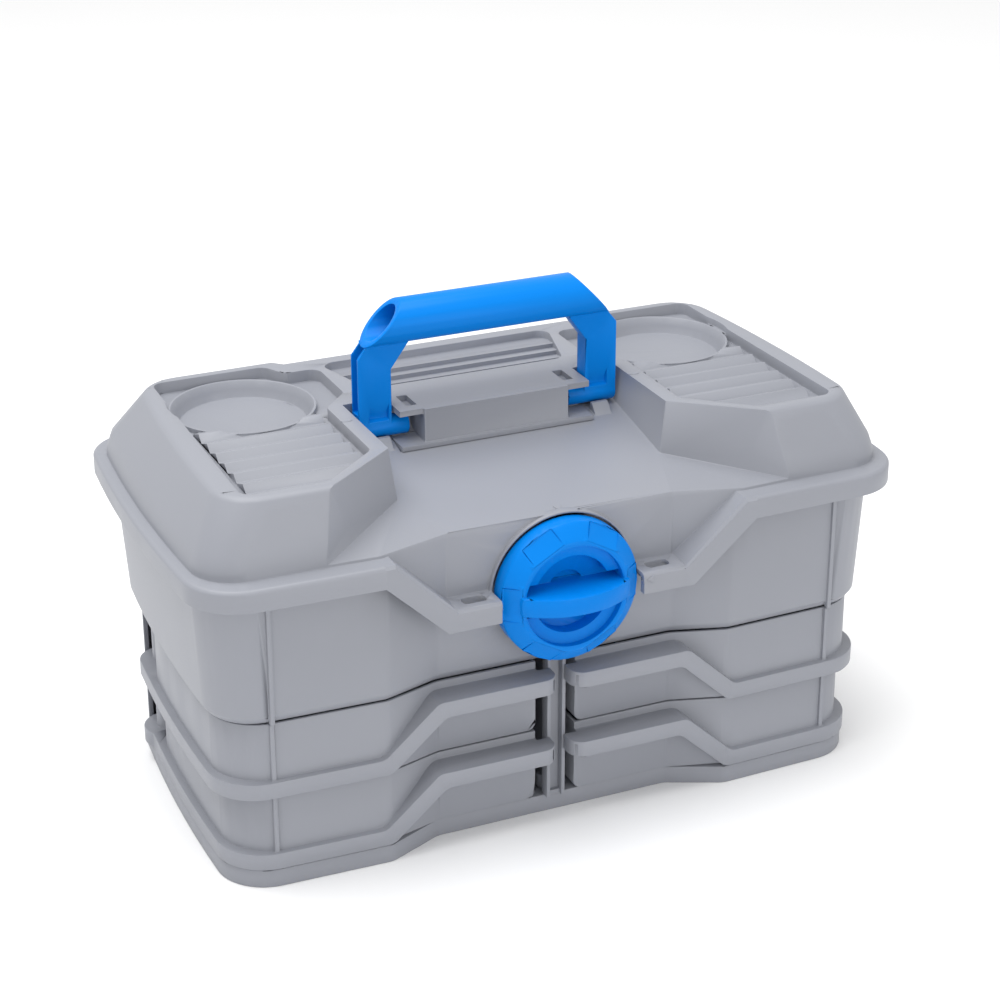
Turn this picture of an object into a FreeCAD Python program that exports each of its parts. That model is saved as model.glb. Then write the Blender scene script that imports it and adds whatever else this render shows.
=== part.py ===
import FreeCAD, Part
import math
import os

# Tackle box with a hinged lid and four swing-out drawers.
# X runs to the right along the front, Y to the rear, Z up from the floor under the base.
# The origin is the middle of the floor print.

doc = FreeCAD.newDocument("tackle_box")
sheet = doc.addObject("Spreadsheet::Sheet", "sizes")

SIZES = {
    # plan shape shared by every level of the box
    "side_bow_radius": 1150.0,
    "side_crown_y": -45.0,
    "front_slant_angle": 1.8,
    "kink_radius": 12.0,
    "recess_half_inner": 74.0,
    "recess_half_outer": 107.5,
    "overrun": 40.0,
    # base tray
    "base_half": 203.2,
    "base_front": 112.5,
    "base_recess": 97.5,
    "base_rear": 104.5,
    "base_height": 11.2,
    "base_wall": 2.5,
    "base_rib": 2.0,
    "base_rib_spacing": 75.0,
    "base_rib_rows": 4,
    "front_corner": 30.0,
    "rear_corner": 32.0,
    # drawers
    "drawer_pitch": 45.6,
    "drawer_gap": 0.8,
    "drawer_wall": 2.2,
    "drawer_floor": 2.2,
    "lower_drawer_half": 199.6,
    "upper_drawer_half": 202.8,
    "drawer_front": 109.5,
    "drawer_recess": 99.5,
    "drawer_rear": 32.0,
    "drawer_inner_end": 12.5,
    "drawer_end_round": 5.0,
    "flange_height": 10.0,
    "flange_width": 4.3,
    "lip_front": 116.2,
    "lip_rise": 30.2,
    "lip_ramp_outer": 107.3,
    "lip_ramp_inner": 74.8,
    "lip_top_shift": 4.2,
    "lip_end": 4.6,
    "lip_end_round": 9.0,
    "lip_bend": 8.0,
    "corner_rib_x": 175.7,
    "corner_rib_width": 2.8,
    "corner_rib_depth": 1.8,
    # drawer hinges
    "hinge_x": 187.0,
    "hinge_y": 59.0,
    "rod_radius": 2.5,
    "running_clearance": 0.05,
    "barrel_radius": 7.5,
    "arm_radius": 15.4,
    "arm_inner_x": 170.0,
    "stack_gap": 0.1,
    "rod_boss_radius": 8.5,
    "rod_boss_height": 13.0,
    "rod_depth_in_body": 10.0,
    "cap_radius": 5.5,
    "cap_height": 3.0,
    "cap_grip": 2.0,
    "cap_top_z": 4.5,
    # dividers
    "divider_thick": 1.8,
    "divider_height": 33.0,
    "divider_inner_x": 50.0,
    "divider_outer_x": 132.0,
    "divider_clearance": 0.2,
    "slot_rib_width": 1.5,
    "slot_rib_depth": 3.0,
    # body tub
    "body_bottom_half": 206.5,
    "body_bottom_front": 111.5,
    "body_bottom_recess": 101.0,
    "body_bottom_rear": 106.5,
    "body_top_half": 212.0,
    "body_top_front": 112.0,
    "body_top_recess": 101.3,
    "body_top_rear": 110.5,
    "body_top_z": 190.0,
    "body_wall": 3.0,
    "body_floor": 3.0,
    "body_edge_round": 4.5,
    "lip_out": 3.0,
    "lip_thick": 3.0,
    "lip_start_x": 125.0,
    "lid_side_gap": 0.8,
    "well_half": 168.0,
    "well_front": 38.0,
    "post_start_y": 76.5,
    "post_inset": 2.0,
    # centre column
    "column_half": 5.9,
    "column_rib": 2.4,
    "column_front": 101.6,
    "column_web_front": 96.5,
    "column_web": 2.5,
    "column_foot": 3.0,
    "partition_half": 1.4,
    # lid rim and latch flange
    "rim_half": 219.7,
    "rim_front": 127.0,
    "rim_recess": 123.6,
    "rim_rear": 118.5,
    "rim_crown_y": -26.0,
    "rim_front_corner": 33.0,
    "rim_rear_corner": 29.5,
    "rim_bottom_z": 180.0,
    "rim_top_z": 193.0,
    "rim_ease": 1.7,
    "lid_wall": 3.0,
    "flange_bottom_z": 144.0,
    "flange_top_z": 157.2,
    "rim_kink_top": 107.3,
    "rim_kink_bottom": 113.4,
    "flange_kink_top": 70.5,
    "flange_kink_bottom": 75.8,
    "flange_end": 44.0,
    "lock_slot_x": 57.0,
    "lock_slot_y": 113.2,
    "lock_slot_length": 14.0,
    "lock_slot_width": 8.0,
    # lid dome
    "dome_kink_inner": 70.0,
    "dome_kink_outer": 112.0,
    "foot_half": 212.4,
    "foot_front": 114.6,
    "foot_recess": 105.6,
    "foot_rear": 112.0,
    "foot_front_corner": 25.0,
    "foot_rear_corner": 30.0,
    "shoulder_low_z": 198.5,
    "shoulder_low_inset": 0.5,
    "shoulder_z": 206.5,
    "shoulder_inset": 3.4,
    "plateau_z": 234.2,
    "plateau_half": 195.0,
    "plateau_front": 103.0,
    "plateau_recess": 100.0,
    "plateau_rear": 94.0,
    "plateau_crown_y": -60.0,
    "plateau_front_corner": 24.0,
    "plateau_rear_corner": 26.0,
    "plateau_edge_drop": 2.6,
    "plateau_edge_inset": 2.2,
    "rear_notch_half": 95.0,
    "rear_notch_slope": 9.0,
    "rear_notch_depth": 9.0,
    # saddle between the platforms
    "platform_inner_x": 86.5,
    "platform_chamfer_y": 64.0,
    "platform_lean_x": 4.9,
    "platform_lean_y": 2.6,
    "platform_corner_x": 136.0,
    "platform_corner_y": 102.4,
    "crest_y": 105.0,
    "crest_z": 196.3,
    "saddle_angle": 9.7,
    "block_half": 45.8,
    "block_front": 18.6,
    "t_flange_half": 60.5,
    "t_flange_front": 16.4,
    "t_flange_thick": 3.7,
    "slot_rear_y": 7.5,
    "block_foot_half": 61.3,
    "block_foot_front": 21.5,
    "block_foot_z": 213.9,
    "t_hole_inner": 47.0,
    "t_hole_outer": 53.4,
    "t_hole_front": 9.0,
    "t_hole_rear": 7.5,
    "tab_inner": 64.6,
    "tab_outer": 75.4,
    "tab_front": 17.5,
    "tab_crest_y": 11.6,
    "tab_rear": 9.2,
    "tab_top_z": 217.6,
    "tab_clearance": 0.7,
    "tab_notch_flare": 1.4,
    "cradle_inner": 46.5,
    "cradle_outer": 60.0,
    # lid pockets
    "pocket_inner_x": 96.4,
    "pocket_outer_x": 181.5,
    "pocket_outer_rear_x": 177.5,
    "pocket_front_y": 93.0,
    "pocket_chamfer_x": 132.0,
    "pocket_chamfer_y": 62.0,
    "pocket_rear_y": 85.5,
    "pocket_jog_y": 70.0,
    "pocket_jog_x": 108.0,
    "pocket_jog_run": 8.0,
    "pocket_inner_rear_x": 79.0,
    "pocket_shoulder_y": 26.0,
    "pocket_depth": 7.4,
    "pocket_round": 7.0,
    "dish_x": 136.3,
    "dish_y": 40.8,
    "dish_radius": 43.3,
    "dish_rim": 1.6,
    "dish_rim_z": 229.9,
    "dish_floor_z": 220.4,
    "dish_floor_radius": 37.0,
    "dish_side_gap": 0.8,
    "louver_top_z": 231.8,
    "louver_drop": 3.8,
    "louver_front_run": 5.4,
    "louver_count": 7,
    "louver_pitch": 15.5,
    "louver_first_y": 15.0,
    "louver_inner_x": 100.5,
    "louver_outer_x": 174.5,
    "rear_pocket_rear_half": 76.0,
    "rear_pocket_front_half": 63.0,
    "rear_pocket_front_y": 26.0,
    "rear_pocket_rear_y": 76.0,
    "rear_pocket_depth": 5.0,
    "rear_rib_pitch": 12.0,
    "rear_rib_rise": 3.0,
    # lid hinge
    "lid_axis_y": 121.6,
    "lid_axis_z": 174.6,
    "lid_pin_radius": 2.0,
    "knuckle_radius": 5.4,
    "lid_hinge_x": 110.0,
    "body_knuckle_half": 12.0,
    "lid_knuckle_width": 12.0,
    "knuckle_gap": 0.4,
    # latch
    "knob_z": 152.5,
    "knob_radius": 42.6,
    "knob_back_y": 107.4,
    "knob_rim_y": 117.5,
    "knob_front_y": 125.2,
    "knob_crest_radius": 33.5,
    "knob_inner_radius": 30.5,
    "knob_floor_y": 112.6,
    "knob_flat_count": 6,
    "knob_flat_width": 20.0,
    "knob_flat_depth": 1.5,
    "knob_ledge_radius": 23.4,
    "knob_ledge_y": 121.2,
    "knob_ledge_gap": 9.8,
    "bar_height": 10.8,
    "bar_front_y": 138.2,
    "bar_end_front_y": 126.6,
    "half_moon_radius": 11.0,
    "half_moon_depth": 3.2,
    "arch_radius": 43.8,
    "arch_wall": 1.4,
    "arch_front_y": 108.4,
    "boss_radius": 14.0,
    "boss_front_y": 103.6,
    "boss_depth": 8.0,
    "cam_gap": 0.2,
    "catch_inner": 35.0,
    "catch_height": 5.0,
    "catch_front_y": 106.2,
    "cam_radius": 24.0,
    "cam_reach": 41.5,
    "cam_upper": 1.5,
    "cam_lower": 8.0,
    "latch_screw_radius": 2.5,
    "latch_screw_depth": 7.0,
    "latch_head_radius": 5.5,
    "latch_head_height": 3.2,
    "latch_washer_radius": 9.0,
    "latch_washer_thick": 1.0,
    # handle
    "handle_y": -2.0,
    "handle_pivot_z": 221.5,
    "grip_z": 284.6,
    "grip_radius": 13.0,
    "grip_bore": 9.6,
    "cut_low_x": 74.6,
    "cut_low_z": 275.3,
    "cut_high_x": 54.3,
    "cut_high_z": 297.6,
    "leg_inner_x": 62.0,
    "leg_outer_x": 82.2,
    "leg_inner_top_z": 257.6,
    "leg_outer_top_z": 265.7,
    "chamfer_top_x": 51.4,
    "chamfer_top_z": 272.0,
    "leg_half_depth": 6.0,
    "leg_channel_depth": 4.0,
    "leg_channel_front": 2.2,
    "leg_channel_back": 1.6,
    "leg_channel_bottom_z": 231.0,
    "pivot_radius": 6.4,
    "pivot_inner_x": 51.1,
    "pivot_clearance": 0.1,
    # screws into the base
    "screw_radius": 1.9,
    "screw_head_radius": 3.6,
    "screw_head_height": 2.4,
    "screw_length": 14.0,
    "screw_boss_radius": 5.5,
    "screw_boss_height": 9.0,
    "screw_x": 140.0,
    "screw_rear_y": 72.0,
    "column_screw_y": 86.5,
}

for row, (name, value) in enumerate(SIZES.items(), start=1):
    sheet.set("A%d" % row, name)
    sheet.set("B%d" % row, str(value))
    sheet.setAlias("B%d" % row, name)
doc.recompute()


class Sizes:
    """Every size of the part, read from the sheet by its name."""

    def __getattr__(self, name):
        return float(sheet.get(name))


s = Sizes()
V = FreeCAD.Vector
UP = V(0, 0, 1)

# how far a cutter reaches past the whole box
FAR = s.rim_half + s.overrun * 2

# heights that follow from the stack of drawers
lower_drawer_z = s.base_height + s.drawer_gap
upper_drawer_z = lower_drawer_z + s.drawer_pitch
body_bottom_z = upper_drawer_z + s.drawer_pitch
drawer_height = s.drawer_pitch - s.drawer_gap

# the outlines are drawn about the middle of the base, and every piece is then moved by this much,
# so that the origin lies midway between the knob's bar in front and the lid's hinge behind
CENTRING = "(sizes.bar_front_y - sizes.lid_axis_y - sizes.knuckle_radius) / 2"


def line(start, end):
    return Part.LineSegment(start, end).toShape()


def arc(start, middle, end):
    return Part.Arc(start, middle, end).toShape()


def box(x_low, x_high, y_low, y_high, z_low, z_high):
    return Part.makeBox(x_high - x_low, y_high - y_low, z_high - z_low, V(x_low, y_low, z_low))


def upright(points, z_low, z_high):
    """A flat outline in X and Y, drawn up from one height to another."""
    wire = Part.makePolygon([V(x, y, z_low) for x, y in points + points[:1]])
    return Part.Face(wire).extrude(V(0, 0, z_high - z_low))


def across(points, y_low, y_high):
    """A flat outline in X and Z, drawn from front to rear."""
    wire = Part.makePolygon([V(x, y_low, z) for x, z in points + points[:1]])
    return Part.Face(wire).extrude(V(0, y_high - y_low, 0))


def along(points, x_low, x_high):
    """A flat outline in Y and Z, drawn from left to right."""
    wire = Part.makePolygon([V(x_low, y, z) for y, z in points + points[:1]])
    return Part.Face(wire).extrude(V(x_high - x_low, 0, 0))


def mirror(shape):
    return shape.mirror(V(0, 0, 0), V(1, 0, 0))


def both(shape):
    """A shape and its mirror image on the other side of the middle."""
    return shape.fuse(mirror(shape))


def rounded_corner(before, corner, after, radius):
    """Tangent points and middle of the arc that rounds a corner between two straight lines."""
    to_before = (before - corner).normalize()
    to_after = (after - corner).normalize()
    half = to_before.getAngle(to_after) / 2
    reach = radius / math.tan(half)
    inward = (to_before + to_after).normalize()
    centre = corner + inward * (radius / math.sin(half))
    return corner + to_before * reach, centre - inward * radius, corner + to_after * reach


def smooth_wire(corners, radius):
    """A closed outline whose corners are all rounded alike."""
    edges = []
    rounded = []
    for index, corner in enumerate(corners):
        before = corners[index - 1]
        after = corners[(index + 1) % len(corners)]
        rounded.append(rounded_corner(before, corner, after, radius))
    for index, (start, middle, end) in enumerate(rounded):
        edges.append(arc(start, middle, end))
        edges.append(line(end, rounded[(index + 1) % len(rounded)][0]))
    return Part.Wire(edges)


def bent_line(points, radius, y):
    """A line in X and Z with round bends, as edges at one depth."""
    corners = [V(x, y, z) for x, z in points]
    edges = []
    start = corners[0]
    for before, corner, after in zip(corners, corners[1:], corners[2:]):
        bend = rounded_corner(before, corner, after, radius)
        edges.append(line(start, bend[0]))
        edges.append(arc(*bend))
        start = bend[2]
    return edges + [line(start, corners[-1])]


def bent_band(lower, upper, radius, y_low, y_high):
    """All that lies between two bent lines, drawn from front to rear."""
    x_end, z_end = lower[-1]
    x_start, z_start = upper[0]
    x_close, z_close = upper[-1]
    x_first, z_first = lower[0]
    edges = bent_line(lower, radius, y_low) + [line(V(x_end, y_low, z_end), V(x_start, y_low, z_start))]
    edges += bent_line(upper, radius, y_low) + [line(V(x_close, y_low, z_close), V(x_first, y_low, z_first))]
    return Part.Face(Part.Wire(edges)).extrude(V(0, y_high - y_low, 0))


def plan(level, inset=0.0):
    """The bowed outline of the box at one level, as a closed wire.

    The front has a middle stretch that is set back between two ramps, then a nearly straight
    stretch to each corner. Each side is one long arc, and the rear is straight. The corners are
    arcs that run smoothly into both neighbours. A positive inset moves all of it inwards.
    """
    half, front, recess, rear, z = (level[key] for key in ("half", "front", "recess", "rear", "z"))
    slant = math.radians(s.front_slant_angle)
    crown_y = level.get("crown_y", s.side_crown_y)
    x_in = level.get("kink_inner", s.recess_half_inner)
    x_out = level.get("kink_outer", s.recess_half_outer)
    side_radius = s.side_bow_radius - inset
    side_x = half - s.side_bow_radius
    front_radius = level.get("front_corner", s.front_corner) - inset
    rear_radius = level.get("rear_corner", s.rear_corner) - inset

    # the three straight stretches of the right half of the front, moved in by the inset
    ramp = V(x_out - x_in, recess - front, 0).normalize()
    ramp_in = V(-ramp.y, ramp.x, 0)
    slope = V(math.cos(slant), math.sin(slant), 0)
    slope_in = V(-slope.y, slope.x, 0)
    middle_y = -recess + inset
    on_ramp = V(x_in, -recess, 0) + ramp_in * inset
    kink_in = on_ramp + ramp * ((middle_y - on_ramp.y) / ramp.y)
    on_slope = V(x_out, -front, 0) + slope_in * inset
    cross = ramp.x * slope.y - ramp.y * slope.x
    gap = on_slope - on_ramp
    kink_out = on_ramp + ramp * ((gap.x * slope.y - gap.y * slope.x) / cross)

    # front corner: its centre is one radius in from the slope and from the side arc
    base = kink_out + slope_in * front_radius
    side_centre = V(side_x, crown_y, 0)
    offset = base - side_centre
    along_slope = offset.dot(slope)
    spare = (side_radius - front_radius) ** 2 - offset.dot(offset) + along_slope ** 2
    corner = base + slope * (-along_slope + math.sqrt(spare))
    corner_start = corner - slope_in * front_radius
    to_side = (corner - side_centre).normalize()
    corner_end = corner + to_side * front_radius
    corner_middle = corner + (to_side - slope_in).normalize() * front_radius

    # rear corner: one radius in from the straight rear and from the side arc
    rear_y = rear - inset
    back_y = rear_y - rear_radius
    reach = math.sqrt((side_radius - rear_radius) ** 2 - (back_y - crown_y) ** 2)
    back = V(side_x + reach, back_y, 0)
    to_back = (back - side_centre).normalize()
    back_start = back + to_back * rear_radius
    back_middle = back + (to_back + V(0, 1, 0)).normalize() * rear_radius
    back_end = V(back.x, rear_y, 0)
    side_middle = side_centre + (to_side + to_back).normalize() * side_radius

    inner = rounded_corner(V(0, middle_y, 0), kink_in, kink_out, s.kink_radius)
    outer = rounded_corner(kink_in, kink_out, corner_start, s.kink_radius)

    def right(point):
        return V(point.x, point.y, z)

    def left(point):
        return V(-point.x, point.y, z)

    edges = [line(left(inner[0]), right(inner[0]))]
    edges.append(arc(right(inner[0]), right(inner[1]), right(inner[2])))
    edges.append(line(right(inner[2]), right(outer[0])))
    edges.append(arc(right(outer[0]), right(outer[1]), right(outer[2])))
    edges.append(line(right(outer[2]), right(corner_start)))
    edges.append(arc(right(corner_start), right(corner_middle), right(corner_end)))
    edges.append(arc(right(corner_end), right(side_middle), right(back_start)))
    edges.append(arc(right(back_start), right(back_middle), right(back_end)))
    edges.append(line(right(back_end), left(back_end)))
    edges.append(arc(left(back_end), left(back_middle), left(back_start)))
    edges.append(arc(left(back_start), left(side_middle), left(corner_end)))
    edges.append(arc(left(corner_end), left(corner_middle), left(corner_start)))
    edges.append(line(left(corner_start), left(outer[2])))
    edges.append(arc(left(outer[2]), left(outer[1]), left(outer[0])))
    edges.append(line(left(outer[0]), left(inner[2])))
    edges.append(arc(left(inner[2]), left(inner[1]), left(inner[0])))
    return Part.Wire(edges)


def at(level, z):
    """The same level at another height."""
    return dict(level, z=z)


def prism(level, z_low, z_high, inset=0.0):
    """The outline of a level, drawn straight up from one height to another."""
    return Part.Face(plan(at(level, z_low), inset)).extrude(V(0, 0, z_high - z_low))


def tower(sections):
    """A solid through the outlines of several levels, each given with its inset."""
    return Part.makeLoft([plan(level, inset) for level, inset in sections], True, True)


def add_piece(label, shape):
    """One sub-part of the document, refined, under its own name."""
    piece = doc.addObject("Part::Feature", label)
    piece.Label = label
    piece.Shape = shape.removeSplitter()
    piece.setExpression(".Placement.Base.y", CENTRING)
    return piece


base_level = {
    "half": s.base_half, "front": s.base_front, "recess": s.base_recess, "rear": s.base_rear, "z": 0.0,
}
body_bottom = {
    "half": s.body_bottom_half,
    "front": s.body_bottom_front,
    "recess": s.body_bottom_recess,
    "rear": s.body_bottom_rear,
    "z": body_bottom_z,
}
body_top = {
    "half": s.body_top_half,
    "front": s.body_top_front,
    "recess": s.body_top_recess,
    "rear": s.body_top_rear,
    "z": s.body_top_z,
}


def face_y(front, x):
    """Where a nearly straight front stretch lies at a distance x from the middle."""
    return -front + (x - s.recess_half_outer) * math.tan(math.radians(s.front_slant_angle))


def corner_ribs(front_low, front_high, z_low, z_high):
    """The two narrow upright ribs near the front corners, from one height to another."""

    def print_at(front, z):
        y_face = face_y(front, s.corner_rib_x)
        x_low = s.corner_rib_x - s.corner_rib_width / 2
        x_high = s.corner_rib_x + s.corner_rib_width / 2
        y_low = y_face - s.corner_rib_depth
        y_high = y_face + s.corner_rib_depth
        corners = [(x_low, y_low), (x_high, y_low), (x_high, y_high), (x_low, y_high), (x_low, y_low)]
        return Part.makePolygon([V(x, y, z) for x, y in corners])

    rib = Part.makeLoft([print_at(front_low, z_low), print_at(front_high, z_high)], True, True)
    return both(rib)


# Base tray
def base_tray():
    """A low plinth: a top plate with a skirt, ribs, rod bosses and screw bosses under it."""
    tray = prism(base_level, 0, s.base_height)
    tray = tray.cut(prism(base_level, -s.overrun, s.base_height - s.base_wall, s.base_wall))
    inside = prism(base_level, 0, s.base_height - s.base_wall, s.base_wall / 2)
    ribs = []
    rows = int(s.base_rib_rows)
    for row in range(rows):
        x = (row - (rows - 1) / 2) * s.base_rib_spacing
        ribs.append(box(x - s.base_rib / 2, x + s.base_rib / 2, -FAR, FAR, 0, s.base_height))
    for side in (-1, 1):
        y = side * s.base_rib_spacing / 2
        ribs.append(box(-FAR, FAR, y - s.base_rib / 2, y + s.base_rib / 2, 0, s.base_height))
    tray = tray.fuse(ribs[0].multiFuse(ribs[1:]).common(inside))
    boss_top = lower_drawer_z - s.stack_gap
    for side in (-1, 1):
        foot = V(side * s.hinge_x, s.hinge_y, s.cap_top_z)
        tray = tray.fuse(Part.makeCylinder(s.rod_boss_radius, boss_top - s.cap_top_z, foot))
        tray = tray.cut(Part.makeCylinder(s.rod_radius + s.running_clearance, boss_top, foot))
    for x, y in screw_places():
        seat = screw_seat_z()
        boss = Part.makeCylinder(s.screw_boss_radius, s.base_height - seat, V(x, y, seat))
        hole = Part.makeCylinder(s.screw_radius, s.base_height, V(x, y, 0))
        tray = tray.fuse(boss).cut(hole)
    return tray


def screw_places():
    """Two screws under the rear well and one under the column."""
    return [(-s.screw_x, s.screw_rear_y), (s.screw_x, s.screw_rear_y), (0, -s.column_screw_y)]


def screw_seat_z():
    return s.base_height - s.base_wall - s.screw_head_height / 2


def base_screws():
    solids = []
    for x, y in screw_places():
        seat = screw_seat_z()
        head_foot = V(x, y, seat - s.screw_head_height)
        head = Part.makeCylinder(s.screw_head_radius, s.screw_head_height, head_foot)
        shank = Part.makeCylinder(s.screw_radius, s.screw_length, V(x, y, seat))
        solids.append(head.fuse(shank).removeSplitter())
    return Part.makeCompound(solids)


# Drawers
def drawer_level(half, z):
    return {"half": half, "front": s.drawer_front, "recess": s.drawer_recess, "rear": s.base_rear, "z": z}


def lip_top(z, lowered=0.0):
    """The upper line of a drawer's flange: along the pull, down a ramp, and low to the side."""
    high = z + s.flange_height - lowered
    ramp_start = s.lip_ramp_inner + s.lip_top_shift
    ramp_end = s.lip_ramp_outer + s.lip_top_shift
    return [(-s.overrun, high + s.lip_rise), (ramp_start, high + s.lip_rise), (ramp_end, high), (FAR, high)]


def lip_bottom(z):
    """The lower line of the flange, from the side up the ramp to under the pull."""
    return [(FAR, z), (s.lip_ramp_outer, z), (s.lip_ramp_inner, z + s.lip_rise), (-s.overrun, z + s.lip_rise)]


def drawer(half, z):
    """The right-hand drawer: a tray, its flange and pull, and the hinge arm at its rear corner."""
    level = drawer_level(half, z)
    top_z = z + drawer_height
    end = s.drawer_inner_end

    # the tray, trimmed by a block whose inner upright and lower edges are round
    trim = box(end, FAR, -FAR, s.drawer_rear, z, top_z + s.overrun)
    round_edges = [edge for edge in trim.Edges if abs(edge.CenterOfMass.x - end) < s.running_clearance
                   and edge.CenterOfMass.z < top_z + s.overrun - s.running_clearance]
    trim_round = trim.makeFillet(s.drawer_end_round, round_edges)
    front_y = -s.drawer_recess
    tray = prism(level, z, top_z).common(trim_round)
    hollow = prism(level, z + s.drawer_floor, top_z + s.overrun, s.drawer_wall)
    wall = s.drawer_wall
    hollow = hollow.common(box(end + wall, FAR, -FAR, s.drawer_rear - wall, z, top_z + s.overrun))

    # the flange stands out all round, and the pull stands out further in the middle
    out_front = s.drawer_front + s.flange_width
    flange = dict(level, half=half + s.flange_width, front=out_front, recess=s.lip_front)
    band = prism(flange, z, z + drawer_height)
    band = band.common(bent_band(lip_bottom(z), lip_top(z), s.lip_bend, -FAR, s.hinge_y))
    under = prism(flange, z - s.overrun, z + drawer_height, wall)
    below = [(FAR, z - s.overrun), (-s.overrun, z - s.overrun)]
    under = under.common(bent_band(below, lip_top(z, wall), s.lip_bend, -FAR, 0))
    under = under.common(box(s.lip_end + wall, s.recess_half_inner, -FAR, 0, z - s.overrun, top_z))
    under = under.cut(prism(level, z - s.overrun, top_z))
    band_end = box(s.lip_end, FAR, -FAR, s.hinge_y, z, top_z)
    band = band.common(band_end)
    inner_zone = box(0, end, front_y - s.stack_gap * 2 - s.drawer_wall, FAR, z, top_z)
    band = band.cut(inner_zone).cut(under)
    band = round_lip_end(band, z)
    rear_trim = box(s.lip_end, s.arm_inner_x, s.drawer_rear, FAR, z, top_z)
    shell = tray.fuse(band).cut(rear_trim)

    # hinge arm, barrel and web at the rear corner
    hinge = V(s.hinge_x, s.hinge_y, z)
    arm = Part.makeCylinder(s.arm_radius, s.flange_height, hinge)
    barrel = Part.makeCylinder(s.barrel_radius, s.drawer_pitch - s.stack_gap, hinge)
    web = box(s.hinge_x - s.drawer_wall, s.hinge_x + s.drawer_wall, s.drawer_rear - wall, s.hinge_y, z, top_z)
    shell = shell.fuse(arm).fuse(barrel).fuse(web)
    shell = shell.fuse(right_rib(z)).cut(hollow)
    shell = shell.fuse(divider_slots(z))
    bore = Part.makeCylinder(s.rod_radius + s.running_clearance, s.drawer_pitch, hinge)
    return shell.cut(bore)


def round_lip_end(band, z):
    """Rounds the free front corner of the pull, by an upright rounded block."""
    radius = s.lip_end_round
    block = box(s.lip_end, s.lip_end + radius, -s.lip_front - radius, -s.lip_front + radius, z, z + s.drawer_pitch)
    keep = Part.makeCylinder(radius, s.drawer_pitch, V(s.lip_end + radius, -s.lip_front + radius, z))
    return band.cut(block.cut(keep))


def right_rib(z):
    ribs = corner_ribs(s.drawer_front, s.drawer_front, z + s.flange_height / 2, z + drawer_height)
    return ribs.common(box(0, FAR, -FAR, FAR, z, z + s.drawer_pitch))


def divider_places():
    """Where each divider stands, and where the front wall's inside lies there."""
    wall = s.drawer_wall
    inner = (s.divider_inner_x, -s.drawer_recess + wall)
    outer = (s.divider_outer_x, face_y(s.drawer_front, s.divider_outer_x - s.divider_thick * 2) + wall * 1.5)
    return [inner, outer]


def divider_slots(z):
    """Pairs of small ribs on the front and rear walls that hold each divider upright."""
    floor = z + s.drawer_floor
    half = s.divider_thick / 2 + s.divider_clearance
    ribs = []
    for x, front in divider_places():
        for side in (-1, 1):
            low = x + side * half if side > 0 else x - half - s.slot_rib_width
            for y_low, y_high in ((front - s.drawer_wall, front + s.slot_rib_depth),
                                  (s.drawer_rear - s.drawer_wall * 1.5 - s.slot_rib_depth, s.drawer_rear - s.drawer_wall)):
                ribs.append(box(low, low + s.slot_rib_width, y_low, y_high, floor - s.drawer_floor / 2,
                                floor + s.divider_height))
    return ribs[0].multiFuse(ribs[1:])


def dividers(z):
    """The loose dividers of one right-hand drawer, standing on its floor."""
    floor = z + s.drawer_floor
    plates = []
    for x, front in divider_places():
        rear = s.drawer_rear - s.drawer_wall - s.divider_clearance
        plates.append(box(x - s.divider_thick / 2, x + s.divider_thick / 2, front + s.divider_clearance, rear,
                          floor, floor + s.divider_height))
    return Part.makeCompound(plates)


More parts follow.
